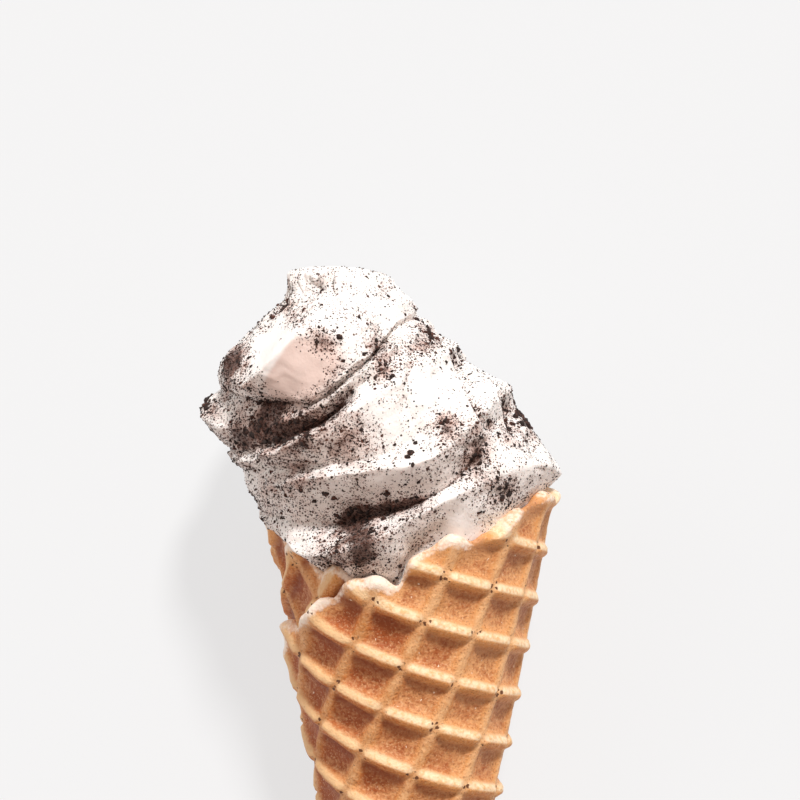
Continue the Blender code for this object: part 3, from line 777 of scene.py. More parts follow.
# Each fold as seen from the front: across, up, and how far it stands out (+) or sinks in (-)
FOLDS = {
    "foot crest": ((-31, 150.8, 0.2), (-25, 147.6, 0.8), (-20.9, 143.8, 3.0), (-13.7, 144.4, 4.0),
                   (-8.4, 146.4, 3.8), (-2.8, 149.6, 2.4), (2.8, 152.8, 0.6), (11.1, 156.6, -0.8),
                   (16, 158.8, -1.2), (22, 161, -0.6), (28, 162, -0.2), (33, 160, -0.8)),
    "great groove": ((-31.5, 152, -0.8), (-23, 150.6, -1.6), (-15.9, 149.8, -4.2), (-13, 151.3, -5.2),
                     (-7.6, 152.5, -5.7), (-1.7, 153.7, -5.7), (4.3, 154.9, -5.1), (7.8, 156.9, -4.2),
                     (12.6, 160, -3.4), (14.9, 162.8, -3.6), (17, 167, -3), (20, 171, -2.6),
                     (23.5, 173.4, -3.6), (27.8, 173.4, -4)),
    "second crest": ((-33.6, 157.6, 0.2), (-29, 157.4, 0.9), (-23, 159.4, 1.3), (-15.8, 160.6, 1.1),
                     (-9.2, 161.2, 1.2), (0, 162, 1.6), (6, 164.6, 1.9), (12, 170, 1.8),
                     (17, 175.4, 1.4), (22.2, 178.6, -0.6)),
    "second groove": ((-34.6, 160.6, -1.6), (-28.5, 161.6, -2), (-19.1, 162.3, -2.4),
                      (-13.5, 163, -2.2), (-2.6, 164.8, -2.6), (0.7, 166.4, -3.2), (4.7, 169.6, -2.8),
                      (8, 174.6, -1.8), (10.5, 180.6, -1.8), (14.4, 184.4, -4)),
    "third crest": ((-36.6, 162.6, 0.4), (-31.8, 163.2, 0.8), (-24.6, 165.6, 1.8), (-15.7, 170, 2),
                    (-11.3, 173.6, 1.6), (-5, 177.4, 1.2), (3, 183.6, 1.2), (11, 187.4, 0.6)),
    "third groove": ((-37.4, 164.2, -1.4), (-28.5, 166.6, -3.8), (-24.5, 168.7, -4.6),
                     (-18.9, 171.2, -4.9), (-13.4, 174.6, -4.4), (-10.6, 178, -1.8), (-6, 181.4, -0.4),
                     (0, 187, -0.4), (6, 190.4, -1)),
    "left tip": ((-41.6, 173.4, 2.6), (-40.6, 171.4, 1.4), (-38.6, 170, 0.2), (-33, 170.6, -3.2),
                 (-28, 171.2, -3.4), (-22, 172.6, -1.6), (-16, 175.6, 0.8), (-10.5, 179.8, 0.9),
                 (-6, 183.4, 0.6), (-1, 188.6, 0.4), (4.5, 192, 0)),
    "head groove": ((-40.5, 178.6, -1.8), (-36, 176.4, -3.2), (-31.6, 175.4, -4.4), (-27.1, 175.8, -4.6),
                    (-22.8, 175.4, -3.8), (-20.3, 174.7, -3.2), (-17.9, 176, -2.8), (-11.2, 181, -2.2),
                    (-6.2, 184.8, -1.8), (-1.5, 190.6, -1.6), (3, 194, -1.4)),
    "head lip": ((-39.8, 181.4, -0.4), (-36, 178, 0.2), (-31.6, 176.4, 0), (-27.1, 176.9, -0.2),
                 (-22.8, 176.4, -0.2), (-20.3, 175.4, -0.2), (-17.9, 176.7, 0.2), (-11.2, 182.2, 0.9),
                 (-6.2, 186.4, 0.7), (-1.5, 192.4, 0.4), (2.4, 195.4, 0)),
    "head belly": ((-38.6, 184.6, -0.6), (-35, 180.6, 1.4), (-31, 178.6, 3.2), (-26.4, 182.4, 5.0),
                   (-23, 186.4, 6.0), (-20, 189.6, 6.0), (-15.5, 190.8, 4.8), (-10, 191.8, 3.4),
                   (-4, 195, 2), (0.6, 197.6, 0.6)),
    "crown crease": ((-28.4, 197.4, -1.6), (-24, 198.2, -0.4), (-18.6, 199.6, -2), (-13.1, 197.6, -1.4),
                     (-7, 198.4, 0), (-1.2, 198.8, 0)),
    "crown": ((-24.2, 202.8, 0.4), (-21, 202.2, 0.2), (-14, 200.8, 0.2), (-3.4, 200.6, 0)),
}
print("the mass is", MASS[-1, 0], "mm high with", len(FOLDS), "folds")

# %% [markdown]
# Every stretch between two folds has its own number of mesh rows, more where there is more to see. A
# stretch that ends in a crest is rounded, and one that ends in a groove is steep. The columns of the mesh
# are closer together in front, and nothing reaches down to the table or out to the wafer.

# %% Sizes of the mesh and of the room round it
COLUMNS = 372
FRONT_CROWDING = 0.42  # how much closer the columns are in front
ROWS_BETWEEN = {
    "plug": 5, "inside the rim": 12, "over the rim": 8, "foot crest": 14, "great groove": 16,
    "second crest": 22, "second groove": 12, "third crest": 20, "third groove": 12, "left tip": 10,
    "head groove": 14, "head lip": 10, "head belly": 24, "crown crease": 26, "crown": 10, "pole": 12,
}
ROUNDNESS = {"head belly": 1.25, "crown": 1.8, "left tip": 1.5}
CRISP = 1.2  # of the other crests; 1 is a sharp crest, larger is rounder
CALM = {"head belly": 0.2, "head lip": 0.5, "head groove": 0.5}  # share of the waver that a fold gets
PLUG_FOOT = 104.0  # height of the plug's lower end
WAFER_ROOM = 2.1  # from the plain cone in to the plug, under one layer
LAYER_ROOM = 1.58  # and further in by this for each layer
TABLE_ROOM = 1.5  # the ice cream stays this far above the table
print("mesh rows:", sum(ROWS_BETWEEN.values()))

# %% [markdown]
# The outline is smoothed and then asked for a point: a heading round the mass, a height, and how far the
# point stands out. The plug inside the wafer follows the rolled layers.

# %% A point of the mass and of the plug
mass_steps = np.concatenate([[0.0], np.cumsum(np.hypot(np.diff(MASS[:, 0]), np.diff(MASS[:, 2])))])


def rounded_rows(steps, rows, per_step=24):
    """A smooth run through rows of numbers."""
    slopes = np.gradient(rows, steps, axis=0)
    fine = np.linspace(steps[0], steps[-1], per_step * len(steps))
    i = np.clip(np.searchsorted(steps, fine, side="right") - 1, 0, len(steps) - 2)
    span = (steps[i + 1] - steps[i])[:, None]
    t = (fine[:, None] - steps[i][:, None]) / span
    return ((2 * t**3 - 3 * t**2 + 1) * rows[i] + (t**3 - 2 * t**2 + t) * span * slopes[i]
            + (-2 * t**3 + 3 * t**2) * rows[i + 1] + (t**3 - t**2) * span * slopes[i + 1])


# np.interp needs heights that only rise, so equal ones are set a hair apart
mass_rows = rounded_rows(mass_steps, MASS)
mass_rows[:, 0] = np.maximum.accumulate(mass_rows[:, 0]) + np.arange(len(mass_rows)) * 1e-7


def mass_at(up):
    """Left, right, front and back of the mass at some heights."""
    return [np.interp(up, mass_rows[:, 0], mass_rows[:, i]) for i in (1, 2, 3, 4)]


def mass_point(heading, up, out):
    """A point of the mass: heading 0 is the front, 90 degrees is the right."""
    left, right, front, back = mass_at(up)
    across = (left + right) / 2 + ((right - left) / 2 + out) * np.sin(heading)
    depth = (front + back) / 2 + ((front - back) / 2 + out) * np.cos(heading)
    return np.stack([across, up, depth], axis=-1)


def heading_seen(across, up):
    """The heading, on the front half, of a place seen from the front."""
    left, right, _, _ = mass_at(up)
    return np.arcsin(np.clip((across - (left + right) / 2) / ((right - left) / 2), -1.0, 1.0))


def edge_height(heading):
    """How high the wafer's edge stands at a heading, where its inner turn may stand in front."""
    turn = np.degrees(heading)
    turn = np.where(turn < -27.0, turn + 360.0, turn)
    return edge_distance(turn) * math.cos(HALF_ANGLE)


def wafer_inside(up, heading):
    """Radius of the plug inside the wafer."""
    turn = np.degrees(heading)
    layers = turn / 360.0 + smooth(24.0, 14.0, turn)
    return up * math.tan(HALF_ANGLE) - WAFER_ROOM - LAYER_ROOM * layers


left, right, _, _ = mass_at(175.0)
print("width of the mass, 175 mm from the tip:", round(float(right - left), 1), "mm")

# %% [markdown]
# A fold is given where it is seen. Round the back its two ends are joined, and a bell curve blurs its
# corners. A small waver is added, so that no crest runs like a drawn line.

# %% Folds all the way round
SEEN_LIMIT = 1.45  # radians; a fold's seen ends are set at least this far round
BELL = np.linspace(-3, 3, 25)  # places of the bell curve, in its own widths
AROUND = 28.0  # millimetres that a radian of heading is, for the waver
BETWEEN_FOLDS = 40.0  # keeps the wavers of two folds apart

spread = np.linspace(-math.pi, math.pi, 4001)
crowd = spread + FRONT_CROWDING * np.sin(spread)
headings = np.interp(np.linspace(-math.pi, math.pi, COLUMNS, endpoint=False), crowd, spread)
seam_fade = smooth(0.0, 0.35, math.pi - np.abs(headings))


def round_the_mass(seen, smoothing=0.05):
    """Height and reach of a fold at every column, closed round the back."""
    seen = np.array(seen, dtype=float)
    at = heading_seen(seen[:, 0], seen[:, 1])
    at[0], at[-1] = min(at[0], -SEEN_LIMIT), max(at[-1], SEEN_LIMIT)
    around = np.concatenate([at - 2 * math.pi, at, at + 2 * math.pi])
    kernel = np.exp(-(BELL ** 2) / 2)
    kernel /= kernel.sum()
    result = []
    for column in (1, 2):
        values = np.tile(seen[:, column], 3)
        near = [np.interp(headings + shift * smoothing, around, values) for shift in BELL]
        result.append(np.tensordot(kernel, near, axes=1))
    return result


def waver(fold, size, strength, seed):
    """A small waver along a fold; it fades out at the seam behind, where the columns meet."""
    along = np.stack([headings * AROUND, np.full(COLUMNS, BETWEEN_FOLDS * fold), np.zeros(COLUMNS)], axis=-1)
    return strength * noise(along, size, seed) * seam_fade


print("columns are", round(math.degrees(np.diff(headings)[COLUMNS // 2]), 2), "degrees apart in front")

# %% [markdown]
# The rows are laid from the plug's foot to the crown. Three lines follow the inside of the wafer, and each
# fold above them is kept a little higher than the last, so that no two cross.

# %% Lay the rows from the plug to the crown
BELOW_EDGE = 4.0  # the plug still follows the wafer this far below its edge
ABOVE_EDGE = 1.4  # and leans out by OVER_EDGE this far above it
OVER_EDGE = 0.4
FIRST_FOLD = 2.0  # above the edge
LEAST_STEP = 0.35  # from one fold up to the next
WAVERS = ((3.2, 0.45, 51), (2.6, 0.55, 52))  # of a fold's height and reach: size, strength, seed


def fold_lines():
    """The plug's lines and the folds, each as a ring of points with how far it stands out."""
    rim = edge_height(headings)
    kernel = np.exp(-(np.linspace(-2, 2, 13) ** 2))
    kernel /= kernel.sum()
    rim = np.convolve(np.tile(rim, 3), kernel, mode="same")[COLUMNS:2 * COLUMNS]
    lines = []
    for up, room in ((np.full(COLUMNS, PLUG_FOOT), 0.0), (rim - BELOW_EDGE, 0.0),
                     (rim + ABOVE_EDGE, OVER_EDGE)):
        radius = wafer_inside(up, headings) + room
        lines.append(np.stack([radius * np.sin(headings), up, radius * np.cos(headings)], axis=-1))
    previous = rim + FIRST_FOLD
    outs = [np.zeros(COLUMNS)] * 3
    for number, (name, seen) in enumerate(FOLDS.items()):
        calm = CALM.get(name, 1.0)
        up, out = (values + calm * waver(number, *how) for values, how in zip(round_the_mass(seen), WAVERS))
        previous = np.maximum(up, previous + (0.0 if name == "head lip" else LEAST_STEP))
        lines.append(mass_point(headings, previous, out))
        outs.append(out)
    return lines, outs


def cream_rows():
    """Points of the surface, row by row, how far each stands out, and the surface's two poles."""
    lines, outs = fold_lines()
    rows = []
    depths = []
    names = list(ROWS_BETWEEN)[1:-1]
    for i, (name, low, high, out_low, out_high) in enumerate(zip(names, lines, lines[1:], outs, outs[1:])):
        next_name = names[i + 1] if i + 1 < len(names) else name
        round_low, round_high = ROUNDNESS.get(name, CRISP), ROUNDNESS.get(next_name, CRISP)
        rising = smooth(-1.6, 1.6, out_high - out_low)
        for t in np.arange(ROWS_BETWEEN[name]) / ROWS_BETWEEN[name]:
            # the surface is rounded where it stands out and steep where it sinks in
            bent = rising * (1.0 - (1.0 - t) ** round_high) + (1.0 - rising) * t ** round_low
            row = low + (high - low) * bent[:, None]
            row[:, 1] = low[:, 1] + (high[:, 1] - low[:, 1]) * t
            rows.append(row)
            depths.append(out_low + (out_high - out_low) * bent)
    foot = lines[0] * (0.0, 1.0, 0.0)
    plug = [foot + (lines[0] - foot) * t for t in np.arange(1, ROWS_BETWEEN["plug"]) / ROWS_BETWEEN["plug"]]
    top = lines[-1]
    peak = np.array([MASS[-1, 1], MASS[-1, 0], 0.0])
    crown = []
    for t in np.arange(ROWS_BETWEEN["pole"]) / ROWS_BETWEEN["pole"]:
        lean = t * math.pi / 2
        ring = peak + (top - peak) * math.cos(lean)
        ring[:, 1] = top[:, 1] + (peak[1] - top[:, 1]) * math.sin(lean)
        crown.append(ring)
    depths = [np.zeros(COLUMNS)] * len(plug) + depths + [outs[-1]] * len(crown)
    return np.array(plug + rows + crown), np.array(depths), foot[0], peak


rows, depths, foot, peak = cream_rows()
print("ice cream:", rows.shape[0], "rows of", rows.shape[1])

# %% [markdown]
# ## The ice cream, 2: creases, crowds of crumbs and grain
#
# The folds alone would look cast. Short creases run down the folds where the rope of cream was squeezed.
# Each is a straight line on the front of the mass, with a width and a depth.

# %% Short creases
# Across and up of both ends, width and depth
CREASES = (
    (10.3, 185.0, 13.4, 178.6, 0.9, 1.3), (13.4, 178.6, 16.8, 170.0, 0.9, 1.6),
    (20.4, 176.4, 22.4, 169.8, 1.0, 1.6), (1.4, 186.0, -0.2, 173.4, 1.0, 0.8),
    (6.2, 181.0, 7.2, 172.0, 0.8, 0.7), (-30.0, 190.6, -25.4, 196.6, 0.9, 0.9),
    (26.0, 168.0, 27.6, 161.4, 1.0, 0.8), (-9.4, 194.6, -4.6, 188.4, 0.9, 0.5),
)


def spot(points, across, up, reach):
    """A soft round spot seen from the front: 1 in its middle, 0 far from it."""
    return np.exp(-(np.hypot(points[..., 0] - across, points[..., 1] - up) / reach) ** 2)


def creased(points):
    """How far the short creases sink in at each point."""
    sunk = np.zeros(points.shape[:-1])
    for x0, y0, x1, y1, width, depth in CREASES:
        across, up = points[..., 0] - x0, points[..., 1] - y0
        run, rise = x1 - x0, y1 - y0
        along = np.clip((across * run + up * rise) / (run * run + rise * rise), 0.0, 1.0)
        away = np.hypot(across - along * run, up - along * rise)
        sunk = np.maximum(sunk, depth * np.exp(-(away / width) ** 2))
    return sunk * smooth(-2.0, 8.0, points[..., 2])


def row_normals(rows):
    """Outward directions of a closed surface that is given as rows of points."""
    along = np.roll(rows, -1, axis=1) - np.roll(rows, 1, axis=1)
    up = np.gradient(rows, axis=0)
    normal = np.cross(along, up)
    return normal / np.maximum(np.linalg.norm(normal, axis=-1, keepdims=True), 1e-9)


def facing_down(rows):
    """1 on the undersides of the folds, 0 where the surface faces up."""
    return smooth(-0.15, -0.60, row_normals(rows)[..., 1])


print("deepest crease:", round(float(creased(rows).max()), 2), "mm")

# %% [markdown]
# Crumbs gather in grooves and creases, and in crowds where a spoonful went in. How crowded they are is
# worked out once, as one number for each point, because the grain, the specks in the finish and the
# strewn crumbs all follow it. A second number says where shade is painted on the cream in a pinkish grey:
# on the head's facet, under the third crest and on the undersides of the folds.

# %% Where the crumbs crowd and where shade is painted on the cream
# Across, up, reach and strength of each crowd, as seen from the front; minus is a bare place
CROWDS = (
    (-18.6, 188.6, 3.6, 0.4), (-15.4, 186.6, 3.2, 0.4), (4.9, 188, 3, 0.5), (-6.6, 186.9, 3, 0.5),
    (-4.4, 181.6, 4, 0.5), (7.3, 170, 3, 0.4), (14.4, 165.4, 3.5, 0.4), (14.4, 162, 3, 0.3),
    (20, 157, 3, 0.4), (-26, 196, 3, 0.4), (-22.8, 193.7, 3, 0.4), (25, 170.8, 4.5, 0.4),
    (-31, 170, 6, 0.7), (-26, 172, 5, 0.5), (-41, 175, 3, 0.5), (-1.4, 154.2, 4.2, 0.4),
    (-11, 151.4, 3.8, 0.6), (-23, 158, 8, 0.1), (-15, 142.6, 4, 0.3), (-8, 143.6, 4, 0.24),
    (-14, 158.5, 5, -0.14), (-3, 159, 6, -0.16), (11, 151.5, 6, -0.16),
    (-9, 147.8, 5.5, 0.36), (-18, 147.4, 4, 0.2),
    (-20.5, 170.2, 2.4, 0.45), (-17, 172.4, 2.2, 0.5), (-14, 174.6, 2.0, 0.5), (-12, 176.6, 1.8, 0.45),
    (-36, 187.5, 3.4, 0.25), (-33, 183, 3.2, 0.22), (27.5, 157, 5, -0.16),
    (-20.5, 176.6, 3, 0.55), (-16.5, 178.6, 3, 0.5), (-12.6, 181.2, 2.6, 0.4), (-35.5, 185.5, 3.6, 0.45),
    (-11.5, 166.6, 5, 0.46), (-22, 163.4, 4, 0.25),
    (10, 168, 7, 0.25), (17, 163, 6, 0.2), (-38, 183, 3, 0.4), (-37, 179, 3, 0.5),
    (-28, 185, 4, -0.4), (-20.5, 180.8, 5.5, -0.7), (-27, 190, 4, -0.2), (3, 178, 6, -0.15),
    (11, 176, 5, -0.2), (-2, 171.5, 4, -0.1), (29, 163, 5, -0.1),
)
EVERYWHERE = 0.28
IN_GROOVES = 0.60
GROOVE_FROM, GROOVE_FULL = -2.9, -5.0  # how far the surface sinks in where that begins and is full
# crumbs crowd a little more on the folds' undersides; this is partly painted shade there
UNDERNEATH = 0.08
IN_CREASES = 0.22
LOWER_LEFT = 0.10
UNEVENNESS = ((0.22, 7.0, 5), (0.16, 2.6, 9))  # strength, size and seed of the noises
# Smooth places with painted shade: across, up and reach
PAINTED_SHADE_SPOTS = ((-25.6, 179.6, 3.8), (-21.0, 180.2, 4.6), (-17.4, 184.0, 3.8), (-21.6, 184.6, 3.6))
# painted shade on the face under the third crest
PAINTED_SHADE_CREST = (-12.0, 167.0, 4.5)
# the painted shade on the head's facet stops at this ridge
FACET_EDGE = (-30.6, 178.0)  # the head's facet ends at a ridge that starts here
FACET_ACROSS = (0.83, -0.56)  # and the facet lies to this side of it


def crowding(points, depth):
    """How many crumbs lie round each point, from 0 to 1."""
    crowd = np.full(points.shape[:-1], EVERYWHERE)
    crowd += IN_GROOVES * smooth(GROOVE_FROM, GROOVE_FULL, depth)
    crowd += UNDERNEATH * facing_down(points) + IN_CREASES * creased(points)
    crowd += LOWER_LEFT * smooth(-5.0, -25.0, points[..., 0]) * smooth(180.0, 165.0, points[..., 1])
    facing = smooth(-6.0, 6.0, points[..., 2])
    for across, up, reach, strength in CROWDS:
        crowd += facing * strength * spot(points, across, up, reach)
    crowd += sum(strength * noise(points, size, seed) for strength, size, seed in UNEVENNESS)
    return np.clip(crowd, 0.0, 1.0)


def painted_shade_at(points):
    """How much shade is painted at each point: on the head's facet, under the third crest and on the folds'
    undersides, from 0 to 1.
    """
    painted_shade = sum(spot(points, *place) for place in PAINTED_SHADE_SPOTS)
    beside = ((points[..., 0] - FACET_EDGE[0]) * FACET_ACROSS[0]
              + (points[..., 1] - FACET_EDGE[1]) * FACET_ACROSS[1])
    painted_shade = np.clip(1.5 * painted_shade, 0.0, 1.0) * smooth(-0.2, 1.0, beside)
    painted_shade += 0.8 * spot(points, *PAINTED_SHADE_CREST)
    front = smooth(-6.0, 6.0, points[..., 2])
    return np.maximum(np.clip(painted_shade, 0.0, 1.0) * front, 0.3 * facing_down(points))


crowd_values = crowding(rows, depths)
print("mean crowding:", round(float(crowd_values.mean()), 2))

# %% [markdown]
# The surface is pushed along its own direction by slow lumps, by fine strokes along the folds, where the
# cream slid over itself, and by a grain that is roughest where crumbs are crowded. Then the rows are
# joined to a closed mesh with a pole at each end.

# %% Roughen the surface and close it
LUMPS = ((0.45, 9.0, 31), (0.30, 4.0, 32))  # strength, size and seed
GRAIN = ((0.30, 1.7, 33), (0.20, 1.0, 34))
GRAIN_EVERYWHERE = 0.06
STROKES = (0.08, 0.3)  # strength everywhere, and what crowding adds
STROKE_SIZE = 1.3
STROKE_LENGTH = 0.12  # the strokes' pattern is stretched along the folds
STROKE_AROUND = 30.0  # millimetres that a radian of heading is, for the strokes
START_ABOVE = 1.0  # nothing is pushed lower than this above the wafer's edge


def unit(directions, least):
    """The directions with length 1, apart from very short ones."""
    return directions / np.maximum(np.linalg.norm(directions, axis=-1, keepdims=True), least)


def roughened(rows, crowd):
    """Push the surface in and out by lumps, strokes along the folds and grain."""
    middles = rows.mean(axis=1)[:, None, :]
    normal = unit(row_normals(rows) + unit(rows - middles, 1.0), 0.5)
    above = smooth(0.0, 4.0, rows[..., 1] - edge_height(headings)[None, :] - START_ABOVE)
    climbed = np.cumsum(np.linalg.norm(np.diff(rows, axis=0, prepend=rows[:1]), axis=-1), axis=0)
    around = headings[None, :] * STROKE_AROUND * np.ones((len(rows), 1))
    spread = np.stack([around, climbed, np.zeros(rows.shape[:2])], axis=-1)
    strokes = noise(spread * (STROKE_LENGTH, 1.0, 1.0), STROKE_SIZE, 21)
    push = sum(strength * noise(rows, size, seed) for strength, size, seed in LUMPS)
    push += (STROKES[0] + STROKES[1] * crowd) * strokes * seam_fade[None, :]
    grain = sum(strength * noise(rows, size, seed) for strength, size, seed in GRAIN)
    push += (GRAIN_EVERYWHERE + crowd) * grain
    push -= creased(rows)
    moved = rows + normal * (push * above)[..., None]
    moved[..., 2] = np.maximum(moved[..., 2], table_level(moved[..., 1]) + TABLE_ROOM)
    return moved


def closed_rows(name, rows, foot, peak):
    """A closed mesh from rows of points and its two poles."""
    count, columns, _ = rows.shape
    number = np.arange(count * columns).reshape(count, columns)
    turned = np.roll(number, -1, axis=1)
    faces = np.stack([number[:-1], turned[:-1], turned[1:], number[1:]], axis=-1).reshape(-1, 4).tolist()
    last = count * columns
    faces += [(last, turned[0, i], number[0, i]) for i in range(columns)]
    faces += [(last + 1, number[-1, i], turned[-1, i]) for i in range(columns)]
    return finish_mesh(name, np.concatenate([rows.reshape(-1, 3), [foot, peak]]), faces)


cream = closed_rows("ice_cream_swirl", roughened(rows, crowd_values), foot, peak)
cream.data.shade_smooth()
print("ice cream:", len(cream.data.vertices), "points")

# %% [markdown]
# ## The ice cream's finish
#
# Frozen cream is white and a little translucent, matt where it is dry and soft-shiny where it melts. The
# stirred crumbs stain it a pinkish brown where they crowd, and are packed dark in the grooves. Specks
# lie everywhere, most of them finer than half a millimetre: the eye takes them for grain and knows the
# flavour by them. They are drawn in the shader by three sizes of cell pattern. Each cell may hold one
# speck, and the number for crowding says how many do and how big the speck is. Specks under a third of a
# millimetre would vanish at this distance, so the finest are drawn a little coarser.

# %% Ice cream finish
SPECKS = (  # cell size, what crowding adds, least, reach, darkest and palest
    (0.34, 0.95, 0.20, 0.40, 0x5E453C, 0xAA8F84), (0.55, 1.15, 0.10, 0.42, 0x35211C, 0x7A5244),
    (1.00, 0.75, 0.10, 0.38, 0x2E1B16, 0x6E4839),
)
churned, tree, known = new_material(
    "cookies_and_cream", ("crumbs", "painted_shade"), {"patchy": (0.35, 4.0), "grain": (1.4, 5.0)},
    torn=(1.9, 3.0, 0.7))
work_out(tree, known, (
    ("stain", "MULTIPLY", "crumbs", "patchy"), ("stain", "SLOPE", "stain", 0.16, 0.60),
    ("packed", "SLOPE", "crumbs", 0.80, 1.0, 0.0, 0.85),
    # painted shade: a pinkish grey on the head's facet, under the third crest and on the folds' undersides
    ("shade", "BLEND", "painted_shade", 0xF7F2EE, 0xE2CBC1), ("shade", "BLEND", "stain", "shade", 0xCDAFA4),
    ("shade", "BLEND", "packed", "shade", 0x55382F),
    ("roughness", "SLOPE", "patchy", 0.35, 0.65, 0.42, 0.62),
    ("relief", "ADD", "crumbs", 0.15), ("relief", "MULTIPLY", "grain", "relief"),
))
for size, more, least, reach, darkest, palest in SPECKS:
    random_cells(tree, known, "speck", 1.0 / size)
    work_out(tree, known, (
        ("room", "MULTIPLY_ADD", "crumbs", more, least), ("room", "SUBTRACT", "room", "speck_chance"),
        ("reach", "SLOPE", "room", 0.0, 0.5, 0.0, reach), ("speck", "SUBTRACT", "reach", "speck_off"),
        ("speck", "SLOPE", "speck", 0.0, 0.10), ("cocoa", "BLEND", "speck_kind", darkest, palest),
        ("shade", "BLEND", "speck", "shade", "cocoa"),
    ))
    if size == SPECKS[0][0]:
        # only the finest specks raise the surface
        work_out(tree, known, (("relief", "MULTIPLY_ADD", "speck", 0.25, "relief"),))
finish_material(tree, known, (0.7, 0.0007), {
    "Roughness": known["roughness"], "IOR": 1.36, "Subsurface Weight": 0.12,
    "Subsurface Radius": (1.0, 0.75, 0.65), "Subsurface Scale": 0.0015,
})

# %% [markdown]
# ## The crumbs
#
# The crumbs that stand out of the cream are real pieces, strewn by one Geometry Nodes tree that is used
# three times: for fine crumbs, for bits and for clumps. It scatters points on the cream, more where a
# stored number is high, puts a rough ball on each, and dents every ball by noise in space, so that no two
# are alike. The fine ones are balls of 8 faces each, because there are thousands of them.

# %% The tree that strews crumbs
CRUMB_INPUTS = {
    "Per mm2": "Float", "Crowding": "Float", "Smallest": "Float", "Largest": "Float", "Sink": "Float",
    "Raggedness": "Float", "Sides": "Int", "Rings": "Int", "Seed": "Int", "Material": "Material",
}
MM2_PER_M2 = 1.0e6
FULL_TURN = 6.28
FEW_LARGE = 2.2  # the higher, the fewer of the crumbs are large
SQUASH = ((0.6, 0.6, 0.5), (1.2, 1.2, 1.0))
DENTS = ((0.9, 0.55), (0.4, 0.45))  # millimetres from dent to dent, share of the raggedness


def crumb_tree(follow):
    """A tree that scatters crumbs over the cream by the stored number that it is told to follow."""
    tree, given = new_tree("strew_by_" + follow, CRUMB_INPUTS)
    seed = {"Seed": given["Seed"]}
    turn = add(tree, "FunctionNodeRandomValue", {0: (0, 0, 0), 1: (FULL_TURN,) * 3, **seed},
               data_type="FLOAT_VECTOR").outputs[0]
    squash = add(tree, "FunctionNodeRandomValue", {**dict(enumerate(SQUASH)), **seed},
                 data_type="FLOAT_VECTOR").outputs[0]
    chance = add(tree, "FunctionNodeRandomValue", {2: 0.0, 3: 1.0, **seed}, data_type="FLOAT").outputs[1]
    follow = add(tree, "GeometryNodeInputNamedAttribute", {"Name": follow}).outputs["Attribute"]
    known = {"follow": follow, "chance": chance, **{name: given[name] for name in CRUMB_INPUTS}}
    work_out(tree, known, (
        ("many", "POWER", "follow", "Crowding"), ("many", "MULTIPLY", "many", "Per mm2"),
        ("many", "MULTIPLY", "many", MM2_PER_M2),
        ("span", "SUBTRACT", "Largest", "Smallest"), ("few", "POWER", "chance", FEW_LARGE),
        ("size", "MULTIPLY_ADD", "few", "span", "Smallest"),
    ))
    points = add(tree, "GeometryNodeDistributePointsOnFaces",
                 {"Mesh": given["Geometry"], "Density": known["many"], **seed}).outputs
    down = add(tree, "ShaderNodeVectorMath", {0: points["Normal"], "Scale": given["Sink"]}, operation="SCALE")
    sunk = add(tree, "GeometryNodeSetPosition", {"Geometry": points["Points"], "Offset": down.outputs[0]})
    scale = add(tree, "ShaderNodeVectorMath", {0: squash, "Scale": known["size"]}, operation="SCALE")
    ball = add(tree, "GeometryNodeMeshUVSphere",
               {"Radius": 0.5, "Segments": given["Sides"], "Rings": given["Rings"]})
    strewn = add(tree, "GeometryNodeInstanceOnPoints",
                 {"Points": sunk.outputs[0], "Instance": ball.outputs["Mesh"], "Rotation": turn,
                  "Scale": scale.outputs[0]})
    real = add(tree, "GeometryNodeRealizeInstances", {"Geometry": strewn.outputs[0]}).outputs[0]
    where = add(tree, "GeometryNodeInputPosition").outputs[0]
    for pitch, strength in DENTS:
        dents = add(tree, "ShaderNodeTexNoise", {"Vector": where, "Scale": 1.0 / (pitch * MM), "Detail": 1.0})
        centred = add(tree, "ShaderNodeVectorMath", {0: dents.outputs["Color"], 1: (0.5, 0.5, 0.5)},
                      operation="SUBTRACT")
        work_out(tree, known, (("amount", "MULTIPLY", "Raggedness", strength),))
        push = add(tree, "ShaderNodeVectorMath", {0: centred.outputs[0], "Scale": known["amount"]},
                   operation="SCALE")
        real = add(tree, "GeometryNodeSetPosition", {"Geometry": real, "Offset": push.outputs[0]}).outputs[0]
    real = add(tree, "GeometryNodeSetMaterial", {"Geometry": real, "Material": given["Material"]}).outputs[0]
    add(tree, "NodeGroupOutput", {0: real})
    print(tree.name, "has", len(tree.nodes), "nodes")
    return tree


by_crowd, by_clump = crumb_tree("strew"), crumb_tree("clumps")

# %% [markdown]
# Crushed cocoa biscuit is dry and dull. It is nearly black where the knife or the roller left it smooth,
# and a warmer brown where it tore, with pale dust on it. That break from black to brown is what tells the
# eye that these are crumbs and not drops of sauce.

# %% Crumb finish
biscuit, tree, known = new_material("cocoa_biscuit_crumb", (), {"blotch": (0.9, 4.0), "relief": (4.0, 4.0)})
work_out(tree, known, (
    ("torn_face", "SLOPE", "blotch", 0.45, 0.72), ("shade", "BLEND", "torn_face", 0x22140F, 0x5A3326),
    ("dust", "SLOPE", "relief", 0.62, 0.75), ("shade", "BLEND", "dust", "shade", 0x7A5546),
))
finish_material(tree, known, (0.6, 0.0003), {"Roughness": 0.8})
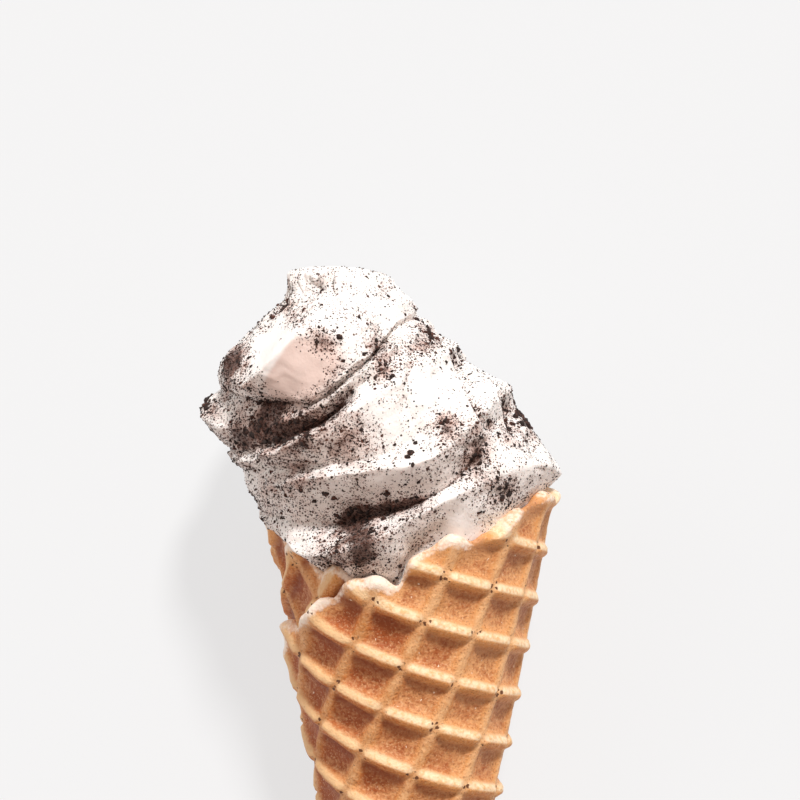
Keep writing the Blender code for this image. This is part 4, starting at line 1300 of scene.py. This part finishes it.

# %% [markdown]
# The cream's points get four numbers: how crowded they are, how much shade is painted on them, and where
# fine crumbs and clumps may lie. No crumb is strewn inside the wafer or close over the table. The clumps
# are placed one by one in front, because each of them shows, and by noise round the back.

# %% Numbers stored on the cream
# Across, up, reach and strength of the clumps seen from the front
CLUMPS = (
    (-43, 175, 1.6, 1.6), (-41.4, 176.6, 1.2, 1.0), (-38, 183.6, 1.2, 0.8), (-30.6, 176.2, 1.2, 0.9),
    (-32, 171.6, 3.0, 0.8), (-28.5, 169.8, 2.6, 0.9), (-24.5, 168.8, 2.4, 0.8), (-20, 170.4, 2.0, 0.5),
    (-18.8, 188.8, 2.2, 0.6), (-15.2, 186.6, 2.2, 0.6), (4.9, 188, 2.0, 1.0), (2.4, 190.2, 1.5, 0.6),
    (-6.6, 186.9, 1.6, 0.9), (-4.4, 181.6, 2.0, 0.8), (7.3, 170, 1.8, 1.1), (14.4, 165.4, 1.6, 1.3),
    (14.4, 162.4, 1.5, 1.3), (16, 169, 2.0, 0.5), (19.8, 157.2, 1.3, 1.0), (20.8, 154.9, 1.2, 0.9),
    (25, 171.4, 2.4, 1.3), (28.5, 170.4, 1.8, 0.9), (22.6, 173.4, 1.6, 1.0), (-10.5, 152, 3.0, 0.8),
    (-4, 153.4, 2.4, 0.5), (-7.6, 201.7, 0.8, 1.2), (-1, 139.8, 1.6, 1.2), (-18, 197.5, 1.0, 0.3),
    (-16, 156, 3.0, 0.3), (2, 163.5, 2.0, 0.4), (11.5, 184.6, 2.0, 0.4), (-27.5, 195.4, 1.4, 0.6),
)


def clumping(points):
    """Where clumps lie: at the places listed, and here and there round the back."""
    front = smooth(-8.0, 2.0, points[..., 2])
    total = (1.0 - front) * smooth(0.45, 0.75, noise(points, 6.0, 71)) * 0.8
    for across, up, reach, strength in CLUMPS:
        total = total + front * strength * spot(points, across, up, reach)
    return total


open_air = smooth(0.5, 2.0, rows[..., 1] - edge_height(headings)[None, :])
off_table = smooth(2.5, 5.0, rows[..., 2] - table_level(rows[..., 1]))
AT_POLES = {"crumbs": (0.0, 0.3), "painted_shade": (0.0, 0.0), "strew": (0.0, 0.3), "clumps": (0.0, 0.0)}
for name, values in (("crumbs", crowd_values), ("painted_shade", painted_shade_at(rows)),
                     ("strew", crowd_values * open_air * off_table),
                     ("clumps", clumping(rows) * open_air * off_table)):
    column = np.append(values.ravel(), AT_POLES[name]).astype(np.float32)
    cream.data.attributes.new(name, "FLOAT", "POINT").data.foreach_set("value", column)
cream.data.materials.append(churned)
cream.data.transform(lay_down)
print("ice cream:", sum(len(face.vertices) - 2 for face in cream.data.polygons), "triangles")

# %% [markdown]
# Now the crumbs are strewn on copies of the cream, whose own faces the tree leaves out. The fine ones lie
# on the surface, and the larger ones are sunk a tenth of a millimetre into it.

# %% Strew the crumbs
CRUMBS = {  # tree, crumbs per mm2, crowding, sizes, sink, raggedness, ball, seed
    "fine_crumbs": (by_crowd, 4.0, 1.5, 0.26, 0.62, 0.0, 0.35, (4, 2), 11),
    "biscuit_bits": (by_crowd, 0.50, 2.2, 0.50, 1.15, -0.0001, 0.8, (6, 4), 12),
    "biscuit_clumps": (by_clump, 0.60, 1.0, 0.6, 1.8, -0.0001, 1.5, (8, 6), 13),
}
for name, (tree, per, power, small, large, sink, ragged, ball, seed) in CRUMBS.items():
    crumbs = bpy.data.objects.new(name, cream.data.copy())
    bpy.context.collection.objects.link(crumbs)
    apply_tree(crumbs, tree, {"Per mm2": per, "Crowding": power, "Smallest": small * MM,
                              "Largest": large * MM, "Sink": sink, "Raggedness": ragged * MM,
                              "Sides": ball[0], "Rings": ball[1], "Seed": seed, "Material": biscuit})
    make_plain(crumbs)
    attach(crumbs, "root")
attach(cream, "root")
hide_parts("ice_cream")
